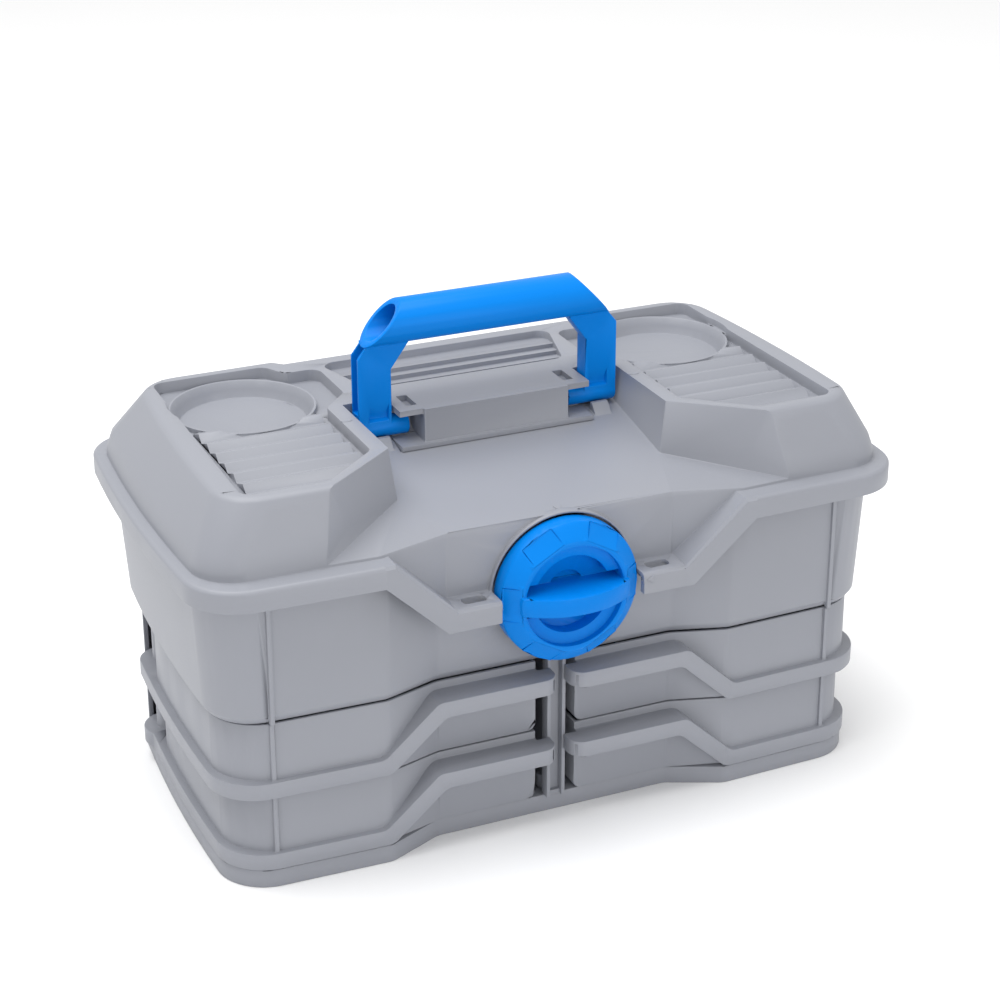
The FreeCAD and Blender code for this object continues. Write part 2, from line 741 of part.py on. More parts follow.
# Body tub
def body_tub():
    """The upper bin with its deep rear well, rear wall and corner posts, one moulding."""
    edge = s.body_edge_round
    wall = s.body_wall
    share = (body_bottom_z + edge - body_bottom_z) / (s.body_top_z - body_bottom_z)
    low = dict(body_bottom, half=s.body_bottom_half + (s.body_top_half - s.body_bottom_half) * share)
    outer = tower([(body_bottom, edge * 0.7), (at(low, body_bottom_z + edge), 0), (body_top, 0)])
    inner_low = at(low, body_bottom_z + s.body_floor)
    inner = tower([(inner_low, wall + edge / 2), (body_top, wall)])
    inner = inner.fuse(prism(body_top, s.body_top_z, s.body_top_z + s.overrun, wall))

    # the rim that the lid rests on, left out in front of the latch
    rim = prism(body_top, s.body_top_z - s.lip_thick, s.body_top_z, -s.lip_out)
    rim = rim.cut(box(-s.lip_start_x, s.lip_start_x, -FAR, 0, 0, FAR))
    tub = outer.fuse(rim).fuse(body_corner_ribs()).fuse(Part.makeCylinder(
        s.boss_radius, s.boss_depth, V(0, -s.boss_front_y, s.knob_z), V(0, 1, 0)))

    # the rear well goes down to the base between the drawer hinges
    rear_face = s.base_rear - s.post_inset
    well = box(-s.well_half, s.well_half, s.well_front, rear_face - wall / 2, s.base_height, body_bottom_z + edge)
    post_top = body_bottom_z + edge
    posts = prism(base_level, s.base_height, post_top, s.post_inset)
    posts = posts.cut(prism(base_level, 0, post_top + s.overrun, s.post_inset + wall))
    posts = posts.common(box(-FAR, FAR, s.post_start_y, FAR, s.base_height, post_top))
    tub = tub.fuse(well).fuse(posts)
    well_hollow = box(-s.well_half + wall, s.well_half - wall, s.well_front + wall, rear_face - wall * 1.5,
                      s.base_height + s.body_floor, body_bottom_z + edge * 2)
    tub = tub.cut(inner).cut(well_hollow)

    # bosses for the hinge rods, and screw bosses on the floor of the well
    for side in (-1, 1):
        foot_z = body_bottom_z
        boss = Part.makeCylinder(s.rod_boss_radius, s.rod_boss_height, V(side * s.hinge_x, s.hinge_y, foot_z))
        bore = Part.makeCylinder(s.rod_radius + s.running_clearance, s.rod_depth_in_body,
                                 V(side * s.hinge_x, s.hinge_y, foot_z))
        tub = tub.fuse(boss).cut(bore)
    for x, y in screw_places()[:2]:
        tub = tub.fuse(Part.makeCylinder(s.screw_boss_radius, s.screw_boss_height, V(x, y, s.base_height)))
        tub = tub.cut(Part.makeCylinder(s.screw_radius, s.screw_length, V(x, y, screw_seat_z())))
    hole = Part.makeCylinder(s.latch_screw_radius + s.running_clearance, s.overrun,
                             V(0, -s.boss_front_y - s.running_clearance, s.knob_z), V(0, 1, 0))
    tub = tub.cut(hole)
    return tub.fuse(body_knuckles()).cut(lid_pin_bores(s.lid_pin_radius))


def body_corner_ribs():
    ribs = corner_ribs(s.body_bottom_front, s.body_top_front, body_bottom_z, s.body_top_z - s.lip_thick)
    return ribs


def body_knuckles():
    """The body's half of each lid hinge, on a web that grows out of the rear wall."""
    knuckles = []
    for side in (-1, 1):
        x_low = side * s.lid_hinge_x - s.body_knuckle_half
        x_high = side * s.lid_hinge_x + s.body_knuckle_half
        knuckle = Part.makeCylinder(s.knuckle_radius, x_high - x_low, V(x_low, s.lid_axis_y, s.lid_axis_z), V(1, 0, 0))
        foot_y = s.body_top_rear - s.body_wall
        web = along([
            (s.lid_axis_y, s.lid_axis_z + s.knuckle_radius * 0.8),
            (foot_y, s.lid_axis_z + s.knuckle_radius * 0.8),
            (foot_y, s.lid_axis_z - s.knuckle_radius * 3),
            (s.lid_axis_y, s.lid_axis_z - s.knuckle_radius),
        ], x_low, x_high)
        knuckles.append(knuckle.fuse(web))
    return knuckles[0].fuse(knuckles[1])


def lid_pin_bores(radius):
    bores = []
    span = s.body_knuckle_half + s.knuckle_gap + s.lid_knuckle_width
    for side in (-1, 1):
        start = V(side * s.lid_hinge_x - span, s.lid_axis_y, s.lid_axis_z)
        bores.append(Part.makeCylinder(radius, span * 2, start, V(1, 0, 0)))
    return Part.makeCompound(bores)


# Centre column
def centre_column():
    """The ribbed post between the drawers, with a partition back to the rear well."""
    top_z = body_bottom_z
    low = s.base_height
    half = s.column_half
    post = box(-half, half, -s.column_web_front, -s.column_web_front + s.column_web, low, top_z)
    rib = box(half - s.column_rib, half, -s.column_front, -s.column_web_front + s.column_web, low, top_z)
    foot = box(-half, half, -s.column_front + s.column_web, -s.column_web_front, low, low + s.column_foot)
    partition = box(-s.partition_half, s.partition_half, -s.column_web_front, s.well_front, low, top_z)
    column = post.fuse(both(rib)).fuse(foot).fuse(partition)
    for x, y in screw_places()[2:]:
        column = column.fuse(Part.makeCylinder(s.screw_boss_radius, s.screw_boss_height, V(x, y, low)))
        column = column.cut(Part.makeCylinder(s.screw_radius, s.screw_length, V(x, y, screw_seat_z())))
    return column


# Lid
def rim_top_outline(drop=0.0, low=None):
    """Front view of the rim: straight, then down a ramp on each side to the latch flange."""
    top = s.rim_top_z - drop
    flange = s.flange_top_z - drop
    right = [(FAR, top), (s.rim_kink_top, top), (s.flange_kink_top, flange)]
    left = [(-x, z) for x, z in reversed(right)]
    if low is not None:
        return [(-FAR, low), (FAR, low)] + right + left
    under = [(s.flange_kink_bottom, s.flange_bottom_z), (s.rim_kink_bottom, s.rim_bottom_z), (FAR, s.rim_bottom_z)]
    under_left = [(-x, z) for x, z in reversed(under)]
    return under_left + under + right + left


def foot_outline():
    """The outline of the dome where it rises from the shelf behind the rim."""
    return {
        "half": s.foot_half,
        "front": s.foot_front,
        "recess": s.foot_recess,
        "rear": s.foot_rear,
        "z": s.rim_top_z,
        "crown_y": s.rim_crown_y,
        "kink_inner": s.dome_kink_inner,
        "kink_outer": s.dome_kink_outer,
        "front_corner": s.foot_front_corner,
        "rear_corner": s.foot_rear_corner,
    }


def plateau_outline():
    """The outline of the flat top of the dome, before its edge is eased."""
    return {
        "half": s.plateau_half,
        "front": s.plateau_front,
        "recess": s.plateau_recess,
        "rear": s.plateau_rear,
        "z": s.plateau_z,
        "crown_y": s.plateau_crown_y,
        "kink_inner": s.dome_kink_inner,
        "kink_outer": s.dome_kink_outer,
        "front_corner": s.plateau_front_corner,
        "rear_corner": s.plateau_rear_corner,
    }


def dome_shape():
    """Upright at the foot, rounded over a shoulder, then sloping in to the plateau's edge."""
    foot = foot_outline()
    top = plateau_outline()
    return tower([
        (foot, 0),
        (at(foot, s.shoulder_low_z), s.shoulder_low_inset),
        (at(foot, s.shoulder_z), s.shoulder_inset),
        (at(top, s.plateau_z - s.plateau_edge_drop), 0),
        (top, s.plateau_edge_inset),
    ])


def dome_space(wall):
    """The room under the dome, one wall inside it."""
    foot = foot_outline()
    top = plateau_outline()
    return tower([
        (at(foot, s.rim_top_z - wall), wall),
        (at(foot, s.shoulder_z - wall), s.shoulder_inset + wall),
        (at(top, s.plateau_z - wall), wall),
    ])


def saddle_z(y):
    return s.crest_z + (y + s.crest_y) * math.tan(math.radians(s.saddle_angle))


def saddle_region(grow):
    """The room between the platforms, whose inner walls and cut corners lean back as they rise."""
    run = (s.platform_corner_x - s.platform_inner_x) / (s.platform_corner_y - s.platform_chamfer_y)
    far = s.platform_corner_y + s.overrun
    rear = s.slot_rear_y + grow

    def outline(z):
        share = (s.plateau_z - z) / (s.plateau_z - s.crest_z)
        inner = s.platform_inner_x - s.platform_lean_x * share + grow
        chamfer = s.platform_chamfer_y + s.platform_lean_y * share + grow / 2
        right = [(inner, rear), (inner, -chamfer), (inner + run * (far - chamfer), -far)]
        points = right + [(-x, y) for x, y in reversed(right)] + right[:1]
        return Part.makePolygon([V(x, y, z) for x, y in points])

    return Part.makeLoft([outline(s.rim_bottom_z), outline(s.plateau_z + s.overrun)], True, True)


def saddle_cut(grow):
    """Everything above the saddle between the platforms, and the slots for the handle's legs."""
    rear = s.slot_rear_y + grow
    far = s.platform_corner_y + s.overrun
    slope = along([
        (rear, saddle_z(rear) - grow),
        (-far, saddle_z(-far) - grow),
        (-far, FAR),
        (rear, FAR),
    ], -FAR, FAR)
    cut = saddle_region(grow).common(slope)
    block = box(-s.block_half + grow, s.block_half - grow, -s.block_front + grow, FAR, 0, FAR)
    return cut.cut(block)


def pocket_outline(grow=0.0):
    """Plan of the right-hand pocket, with its jog at the rear and its cut front corner."""
    rear = s.pocket_rear_y + grow
    front = -s.pocket_front_y - grow
    inner = s.pocket_inner_x - grow
    return [
        (s.pocket_outer_rear_x + grow, rear),
        (s.pocket_jog_x - grow / 2, rear),
        (s.pocket_jog_x - s.pocket_jog_run - grow / 2, s.pocket_jog_y + grow),
        (s.pocket_inner_rear_x - grow, s.pocket_jog_y + grow),
        (s.pocket_inner_rear_x - grow, s.pocket_shoulder_y),
        (inner, s.slot_rear_y),
        (inner, -s.pocket_chamfer_y),
        (s.pocket_chamfer_x - grow / 2, front),
        (s.pocket_outer_x + grow, front),
    ]


def pocket(floor_z):
    wire = smooth_wire([V(x, y, floor_z) for x, y in pocket_outline()], s.pocket_round)
    return Part.Face(wire).extrude(V(0, 0, FAR - floor_z))


def rear_pocket_outline(grow=0.0):
    """Plan of the pocket behind the handle, wider towards the rear."""
    half_rear = s.rear_pocket_rear_half + grow
    half_front = s.rear_pocket_front_half + grow
    front = s.rear_pocket_front_y - grow
    rear = s.rear_pocket_rear_y + grow
    return [(-half_front, front), (half_front, front), (half_rear, rear), (-half_rear, rear)]


def rear_pocket():
    floor_z = s.plateau_z - s.rear_pocket_depth
    wire = smooth_wire([V(x, y, floor_z) for x, y in rear_pocket_outline()], s.pocket_round)
    return Part.Face(wire).extrude(V(0, 0, FAR - floor_z))


def louvers():
    """Sawtooth steps in front of the dish: each rises towards the front and then slopes down."""
    low = s.plateau_z - s.pocket_depth - s.lid_wall / 2
    valley = s.louver_top_z - s.louver_drop
    y = s.louver_first_y
    teeth = [(y, low), (y, valley)]
    for step in range(int(s.louver_count)):
        y -= s.louver_pitch
        teeth.append((y + s.louver_front_run, s.louver_top_z))
        teeth.append((y, valley))
    teeth.append((y, low))
    steps = along(teeth, s.louver_inner_x, s.louver_outer_x)
    return steps.common(upright(pocket_outline(s.lid_wall / 2), low, s.plateau_z))


def dish(radius_grow, floor_z, top_z):
    return Part.makeCylinder(s.dish_radius + radius_grow, top_z - floor_z, V(s.dish_x, s.dish_y, floor_z))


def dish_bowl():
    """The room in the dish: its wall widens from the floor to the ring, and it is open above."""
    mouth = s.dish_radius - s.dish_rim
    foot = V(s.dish_x, s.dish_y, s.dish_floor_z)
    cone = Part.makeCone(s.dish_floor_radius, mouth, s.dish_rim_z - s.dish_floor_z, foot)
    return cone.fuse(dish(-s.dish_rim, s.dish_rim_z, FAR))


def rear_ribs():
    """Low sawtooth ribs in the pocket behind the handle."""
    floor = s.plateau_z - s.rear_pocket_depth
    ribs = []
    y = s.rear_pocket_front_y + s.rear_rib_pitch / 2
    while y + s.rear_rib_pitch < s.rear_pocket_rear_y:
        ribs.append(along([
            (y, floor - s.lid_wall / 2),
            (y, floor + s.rear_rib_rise),
            (y + s.rear_rib_pitch, floor),
            (y + s.rear_rib_pitch, floor - s.lid_wall / 2),
        ], -FAR, FAR))
        y += s.rear_rib_pitch
    return ribs[0].multiFuse(ribs[1:]).common(upright(rear_pocket_outline(s.lid_wall / 2), 0, s.plateau_z))


def rear_notch(grow):
    """The shallow recess across the middle of the dome's rear wall."""
    deep = s.rear_notch_depth + grow

    def outline(rear, z):
        front = rear - deep
        slope = s.rear_notch_slope
        half = s.rear_notch_half + grow / 2
        points = [(-half, front), (half, front), (half + slope, rear), (half + slope, FAR)]
        points += [(-half - slope, FAR), (-half - slope, rear), (-half, front)]
        return Part.makePolygon([V(x, y, z) for x, y in points])

    low = s.foot_rear - s.shoulder_inset
    slant = (low - s.plateau_rear) / (s.plateau_z - s.shoulder_z)
    high = s.plateau_z + s.overrun
    levels = [outline(low, s.shoulder_z), outline(s.plateau_rear - slant * s.overrun, high)]
    return Part.makeLoft(levels, True, True)


def lid():
    """The hip-roof lid as one shell: rim, latch flange, dome, saddle, pockets and hinge."""
    wall = s.lid_wall
    rim_level = {
        "half": s.rim_half,
        "front": s.rim_front,
        "recess": s.rim_recess,
        "rear": s.rim_rear,
        "z": s.rim_bottom_z,
        "front_corner": s.rim_front_corner,
        "rear_corner": s.rim_rear_corner,
        "crown_y": s.rim_crown_y,
        "kink_inner": s.flange_kink_top,
        "kink_outer": s.rim_kink_bottom,
    }
    foot_level = foot_outline()
    middle = -s.overrun
    front_view = across(rim_top_outline(), -FAR, middle)
    rear_view = box(-FAR, FAR, middle, FAR, s.rim_bottom_z, s.rim_top_z)
    rim = prism(rim_level, s.flange_bottom_z, s.rim_top_z).common(front_view.fuse(rear_view))
    rim = ease_rim(rim)
    apron = prism(foot_level, s.flange_bottom_z, s.rim_top_z)
    apron = apron.cut(across(rim_top_outline(wall, 0), -FAR, middle))
    apron = apron.cut(box(-FAR, FAR, middle, FAR, 0, s.rim_top_z - wall))
    dome = dome_shape()
    dome = dome.cut(saddle_cut(0)).cut(rear_notch(0))
    dome = dome.cut(both(pocket(s.plateau_z - s.pocket_depth))).cut(rear_pocket())
    dome = dome.cut(both(dish(s.dish_side_gap, s.dish_rim_z, FAR)))
    shell = dome.fuse(rim).fuse(apron)

    # the space inside, which keeps the same wall under every recess
    under = across(rim_top_outline(wall, 0), -FAR, middle)
    under = under.fuse(box(-FAR, FAR, middle, FAR, 0, s.rim_top_z - wall))
    skirt_space = prism(rim_level, s.flange_bottom_z - s.overrun, s.rim_top_z, wall).common(under)
    space = dome_space(wall).fuse(prism(foot_level, 0, s.rim_top_z - wall, wall))
    space = space.cut(saddle_cut(wall)).cut(rear_notch(wall))
    space = space.cut(both(upright(pocket_outline(wall), s.plateau_z - s.pocket_depth - wall, FAR)))
    space = space.cut(upright(rear_pocket_outline(wall), s.plateau_z - s.rear_pocket_depth - wall, FAR))
    space = space.cut(both(dish(wall, s.dish_floor_z - wall, FAR)))
    shell = shell.cut(space).cut(skirt_space).cut(prism(body_top, 0, s.body_top_z, -s.lid_side_gap))

    # dish, louvers and ribs
    ring = dish(0, s.dish_floor_z, s.dish_rim_z)
    bowl = dish_bowl()
    steps = louvers().cut(dish(0, 0, FAR))
    shell = shell.fuse(both(ring)).fuse(both(steps)).fuse(rear_ribs()).cut(both(bowl))
    shell = shell.fuse(handle_seat()).fuse(arch_collar())
    opening = Part.makeCylinder(s.arch_radius, s.overrun, V(0, -s.rim_front - wall, s.knob_z), V(0, 1, 0))
    gap = box(-s.flange_end, s.flange_end, -s.rim_front - wall, -s.foot_recess + wall * 2, 0, s.knob_z)
    shell = shell.cut(opening).cut(gap).fuse(flange_ends()).fuse(catch()).cut(lock_slots())
    shell = shell.fuse(lid_knuckles()).cut(lid_pin_bores(s.lid_pin_radius + s.running_clearance))
    return shell


def ease_rim(rim):
    """Chamfers the rim's upper outer edge, and then the ramps and the latch flange in front."""
    near = s.running_clearance
    edges = []
    for edge in rim.Edges:
        bounds = edge.BoundBox
        on_top = bounds.ZMin > s.rim_top_z - near
        across_top = bounds.XLength < near
        at_the_joint = abs(edge.CenterOfMass.y + s.overrun) < near
        if on_top and not across_top and not at_the_joint:
            edges.append(edge)
    return rim.makeChamfer(s.rim_ease, edges).cut(front_ease())


def front_ease():
    """A three-sided bar along the front edge of the flange and its ramps, mitred where they meet."""
    share = (s.rim_kink_top - s.flange_kink_top) / (s.rim_kink_bottom - s.flange_kink_top)
    ramp_y = s.rim_recess + (s.rim_front - s.rim_recess) * share
    slant = math.atan2(s.rim_top_z - s.flange_top_z, s.rim_kink_top - s.flange_kink_top)
    stations = [(s.flange_kink_top, s.rim_recess, s.flange_top_z), (s.rim_kink_top, ramp_y, s.rim_top_z)]
    mitre = s.rim_ease * math.tan(slant / 2)
    sections = []
    for side, places in ((-1, reversed(stations)), (1, stations)):
        for x, y, z in places:
            edge = V(side * x, -y, z)
            down = V(side * mitre, 0, -s.rim_ease)
            inward = V(0, s.rim_ease, 0)
            outer = edge - down - inward
            corners = [edge + inward, edge + down, outer, edge + inward]
            sections.append(Part.makePolygon(corners))
    return Part.makeLoft(sections, True, True)


def handle_seat():
    """The bar over the handle's pivots, the ledge under it, cradles behind and tabs in front."""
    top = s.plateau_z
    rear = s.slot_rear_y + s.lid_wall
    flange = box(s.block_half - s.lid_wall, s.t_flange_half, -s.t_flange_front, rear, top - s.t_flange_thick, top)
    hole = box(s.t_hole_inner, s.t_hole_outer, -s.t_hole_front, s.t_hole_rear, 0, FAR)
    foot_z = s.block_foot_z
    ledge = box(0, s.block_foot_half, -s.block_foot_front, rear, foot_z - s.lid_wall, foot_z)
    cradle = box(s.cradle_inner - s.lid_wall, s.cradle_outer, s.handle_y, rear, foot_z - s.lid_wall,
                 top - s.t_flange_thick)
    groove_radius = s.pivot_radius + s.pivot_clearance
    groove = Part.makeCylinder(groove_radius, s.leg_outer_x, V(0, s.handle_y, s.handle_pivot_z), V(1, 0, 0))
    tab = along([
        (-s.tab_front, saddle_z(-s.tab_front)),
        (-s.tab_crest_y, s.tab_top_z),
        (-s.tab_rear, s.tab_top_z),
        (-s.tab_rear, saddle_z(-s.tab_rear) - s.lid_wall / 2),
        (-s.tab_front, saddle_z(-s.tab_front) - s.lid_wall / 2),
    ], s.tab_inner, s.tab_outer)
    opened = box(0, s.block_half - s.lid_wall, -s.block_front + s.lid_wall, FAR, 0, top - s.lid_wall)
    ledge = ledge.cut(opened)
    seat = flange.cut(hole).fuse(ledge).fuse(cradle.cut(groove)).fuse(tab)
    return both(seat)


def arch_collar():
    """A thin hood that stands out of the lid's front round the upper half of the knob."""
    length = s.arch_front_y - s.foot_recess + s.lid_wall
    front = V(0, -s.arch_front_y, s.knob_z)
    collar = Part.makeCylinder(s.arch_radius + s.arch_wall, length, front, V(0, 1, 0))
    return collar.common(box(-FAR, FAR, -FAR, FAR, s.knob_z, FAR))


def flange_ends():
    """The walls that close the latch flange beside the knob, open behind for the cam."""
    wall = s.lid_wall
    front = -s.rim_recess + wall / 2
    end = box(s.flange_end, s.flange_end + wall, front, front + wall, s.flange_bottom_z, s.flange_top_z - wall / 2)
    return both(end)


def catch():
    """The small step behind the knob's right side, just above the cam's lobe at the end of its turn.

    It would have to lie under the lobe to hold the lid shut, so this latch doesn't hold it.
    """
    low = s.knob_z + s.cam_upper + s.cam_gap
    return box(s.catch_inner, s.arch_radius + s.arch_wall, -s.catch_front_y, -s.foot_recess + s.lid_wall,
               low, low + s.catch_height)


def lock_slots():
    half = s.lock_slot_length / 2
    wide = s.lock_slot_width / 2
    hole = box(s.lock_slot_x - half, s.lock_slot_x + half, -s.lock_slot_y - wide, -s.lock_slot_y + wide,
               s.flange_bottom_z, s.flange_top_z + s.lid_wall)
    upright_edges = [edge for edge in hole.Edges if edge.BoundBox.ZLength > s.lid_wall]
    return both(hole.makeFillet(wide * 0.7, upright_edges))


def lid_knuckles():
    """The lid's half of each hinge, outside the body's knuckle on both sides."""
    knuckles = []
    for side in (-1, 1):
        for end in (-1, 1):
            centre = side * s.lid_hinge_x
            near = s.body_knuckle_half + s.knuckle_gap
            far = near + s.lid_knuckle_width
            x_low = min(centre + end * near, centre + end * far)
            x_high = x_low + s.lid_knuckle_width
            knuckle = Part.makeCylinder(s.knuckle_radius, x_high - x_low, V(x_low, s.lid_axis_y, s.lid_axis_z),
                                        V(1, 0, 0))
            web = along([
                (s.lid_axis_y - s.knuckle_radius / 2, s.lid_axis_z),
                (s.lid_axis_y + s.knuckle_radius, s.lid_axis_z),
                (s.lid_axis_y + s.knuckle_radius * 0.6, s.rim_bottom_z),
                (s.rim_rear - s.lid_wall / 2, s.rim_top_z - s.lid_wall * 2),
                (s.rim_rear - s.lid_wall, s.rim_bottom_z + s.lid_wall / 2),
            ], x_low, x_high)
            knuckles.append(knuckle.fuse(web))
    return knuckles[0].multiFuse(knuckles[1:])


# Handle
def carry_handle():
    """A bored grip cut off at a slant at both ends, on two flat legs with round pivots."""
    grip_axis = V(-s.leg_outer_x - s.grip_radius, s.handle_y, s.grip_z)
    length = (s.leg_outer_x + s.grip_radius) * 2
    grip = Part.makeCylinder(s.grip_radius, length, grip_axis, V(1, 0, 0))
    bore = Part.makeCylinder(s.grip_bore, length, grip_axis, V(1, 0, 0))
    slope = (s.cut_low_x - s.cut_high_x) / (s.cut_high_z - s.cut_low_z)
    drop = s.overrun
    keep = [
        (s.cut_low_x + slope * drop, s.cut_low_z - drop),
        (s.cut_high_x - slope * drop, s.cut_high_z + drop),
    ]
    keep = keep + [(-x, z) for x, z in reversed(keep)]
    kept = across(keep, -FAR, FAR)
    leg = across([
        (s.leg_inner_x, s.handle_pivot_z),
        (s.leg_outer_x, s.handle_pivot_z),
        (s.leg_outer_x, s.leg_outer_top_z),
        (s.cut_low_x, s.cut_low_z),
        (s.chamfer_top_x, s.cut_low_z),
        (s.chamfer_top_x, s.chamfer_top_z),
        (s.leg_inner_x, s.leg_inner_top_z),
    ], s.handle_y - s.leg_half_depth, s.handle_y + s.leg_half_depth)
    channel_x = s.leg_outer_x - s.leg_channel_depth
    channel = across([
        (channel_x, s.leg_channel_bottom_z),
        (s.leg_outer_x + s.overrun, s.leg_channel_bottom_z),
        (s.leg_outer_x + s.overrun, s.cut_low_z),
        (s.cut_low_x - s.leg_channel_depth, s.cut_low_z - s.leg_channel_depth / 2),
        (channel_x, s.leg_outer_top_z - s.leg_channel_depth / 2),
    ], s.handle_y - s.leg_half_depth + s.leg_channel_front, s.handle_y + s.leg_half_depth - s.leg_channel_back)
    pivot = Part.makeCylinder(s.pivot_radius, s.leg_outer_x - s.pivot_inner_x,
                              V(s.pivot_inner_x, s.handle_y, s.handle_pivot_z), V(1, 0, 0))
    legs = leg.cut(channel).cut(tab_notch()).fuse(pivot)
    return grip.common(kept).fuse(both(legs)).cut(bore.common(kept.fuse(grip)))


def tab_notch():
    """The wedge cut out of a leg's front above its pivot, which takes the tab when the handle folds."""
    front = s.handle_y - s.leg_half_depth
    low = s.handle_pivot_z + s.tab_rear + s.handle_y - s.tab_clearance
    high = s.handle_pivot_z + s.tab_front + s.handle_y
    into = front + s.leg_half_depth - (s.handle_pivot_z - s.tab_top_z) + s.tab_clearance
    return along([
        (front, low - s.tab_notch_flare),
        (into, low),
        (into, s.handle_pivot_z + s.tab_crest_y + s.handle_y),
        (front, high),
    ], s.tab_inner - s.tab_clearance, s.tab_outer + s.tab_clearance)


# Latch
def knob_axis_front(y):
    return V(0, -y, s.knob_z)


def latch_knob():
    """A round knob: a coned ring with flats, a ledge and a floor inside it, and a bowed bar across."""
    ring_profile = [
        (s.knob_inner_radius, s.knob_back_y),
        (s.knob_radius, s.knob_back_y),
        (s.knob_radius, s.knob_rim_y),
        (s.knob_crest_radius, s.knob_front_y),
        (s.knob_inner_radius, s.knob_front_y),
    ]
    wire = Part.makePolygon([V(r, -y, s.knob_z) for r, y in ring_profile + ring_profile[:1]])
    ring = Part.Face(wire).revolve(V(0, 0, s.knob_z), V(0, 1, 0), 360)
    flats = int(s.knob_flat_count)
    for turn in range(flats):
        ring = ring.cut(knob_flat(360 * turn / flats))
    grip = s.knob_inner_radius + s.cam_gap
    floor = Part.makeCylinder(grip, s.knob_floor_y - s.knob_back_y, knob_axis_front(s.knob_floor_y), V(0, 1, 0))
    ledge_height = s.knob_ledge_y - s.knob_back_y
    ledge = Part.makeCylinder(grip, ledge_height, knob_axis_front(s.knob_ledge_y), V(0, 1, 0))
    within_front = knob_axis_front(s.knob_back_y + s.overrun)
    within = Part.makeCylinder(s.knob_ledge_radius, s.overrun, within_front, V(0, 1, 0))
    beside = box(-FAR, FAR, -FAR, 0, s.knob_z - s.knob_ledge_gap, s.knob_z + s.knob_ledge_gap)
    knob = ring.fuse(floor).fuse(ledge.cut(within).cut(beside)).fuse(knob_bar()).cut(half_moon())
    tip = knob_axis_front(s.knob_back_y + s.latch_screw_depth)
    return knob.cut(Part.makeCylinder(s.latch_screw_radius, s.latch_screw_depth, tip, V(0, 1, 0)))


def knob_flat(turn):
    """What one flat takes off the cone, a little deeper than a plane through its middle."""
    half = s.knob_flat_width / 2
    cut_radius = s.knob_radius - s.knob_flat_depth
    crest = s.knob_crest_radius - s.knob_flat_depth
    over = s.knob_flat_depth * 2
    slope = (s.knob_front_y - s.knob_rim_y) / (s.knob_radius - s.knob_crest_radius)
    profile = [
        (cut_radius, s.knob_rim_y),
        (crest - over, s.knob_front_y + over * slope),
        (s.knob_radius + over, s.knob_front_y + over * slope),
        (s.knob_radius + over, s.knob_rim_y),
    ]
    corners = [V(x, -y, s.knob_z - half) for x, y in profile + profile[:1]]
    flat = Part.Face(Part.makePolygon(corners)).extrude(V(0, 0, half * 2))
    flat.rotate(V(0, 0, s.knob_z), V(0, 1, 0), turn)
    return flat


def knob_bar():
    """The bar that the fingers turn: level above and below, and bowed out in front."""
    end = s.knob_crest_radius
    low = s.knob_z - s.bar_height / 2
    rear = -s.knob_back_y - s.cam_gap
    corners = [V(-end, rear, low), V(-end, -s.bar_end_front_y, low), V(0, -s.bar_front_y, low)]
    corners += [V(end, -s.bar_end_front_y, low), V(end, rear, low)]
    left, left_front, bow, right_front, right = corners
    outline = Part.Wire([line(left, left_front), arc(left_front, bow, right_front), line(right_front, right),
                         line(right, left)])
    bar = Part.Face(outline).extrude(V(0, 0, s.bar_height))
    within = Part.makeCylinder(end, s.overrun, knob_axis_front(s.knob_back_y + s.overrun), V(0, 1, 0))
    return bar.common(within)


def half_moon():
    """The shallow half-round recess in the floor just above the bar."""
    start = knob_axis_front(s.knob_floor_y + s.cam_gap)
    disc = Part.makeCylinder(s.half_moon_radius, s.half_moon_depth + s.cam_gap, start, V(0, 1, 0))
    above = box(-FAR, FAR, -FAR, 0, s.knob_z + s.bar_height / 2, FAR)
    return disc.common(above)


def latch_cam():
    """A disc behind the knob with one long lobe, which points down while the latch is open."""
    thick = s.knob_back_y - s.boss_front_y - s.cam_gap
    start = knob_axis_front(s.knob_back_y)
    disc = Part.makeCylinder(s.cam_radius, thick, start, V(0, 1, 0))
    lobe = box(-s.cam_lower, s.cam_upper, -s.knob_back_y, -s.knob_back_y + thick, s.knob_z - s.cam_reach, s.knob_z)
    bore = Part.makeCylinder(s.latch_screw_radius, thick, start, V(0, 1, 0))
    return disc.fuse(lobe).cut(bore)


def latch_inside_y():
    return s.boss_front_y - s.boss_depth


def latch_screw():
    head_front = latch_inside_y() - s.running_clearance - s.latch_washer_thick
    head = Part.makeCylinder(s.latch_head_radius, s.latch_head_height, knob_axis_front(head_front), V(0, 1, 0))
    tip = s.knob_back_y + s.latch_screw_depth
    shank = Part.makeCylinder(s.latch_screw_radius, tip - head_front, knob_axis_front(tip), V(0, 1, 0))
    return head.fuse(shank)


def latch_washer():
    front = latch_inside_y() - s.running_clearance
    ring = Part.makeCylinder(s.latch_washer_radius, s.latch_washer_thick, knob_axis_front(front), V(0, 1, 0))
    bore = Part.makeCylinder(s.latch_screw_radius, s.latch_washer_thick, knob_axis_front(front), V(0, 1, 0))
    return ring.cut(bore)


def hinge_rod(side):
    """One steel rod from the cap under the base up into the body, through both drawers."""
    rod = doc.addObject("Part::Cylinder", "%s_hinge_rod" % side)
    rod.Label = "%s_hinge_rod" % side
    rod.setExpression("Radius", "sizes.rod_radius")
    foot = "(sizes.cap_top_z - sizes.cap_grip)"
    top = ("(sizes.base_height + sizes.drawer_gap + sizes.drawer_pitch * 2 + sizes.rod_depth_in_body"
           " - sizes.stack_gap)")
    rod.setExpression("Height", top + " - " + foot)
    sign = "-" if side == "left" else ""
    rod.setExpression(".Placement.Base.x", sign + "sizes.hinge_x")
    rod.setExpression(".Placement.Base.y", "sizes.hinge_y + " + CENTRING)
    rod.setExpression(".Placement.Base.z", foot)
    return rod


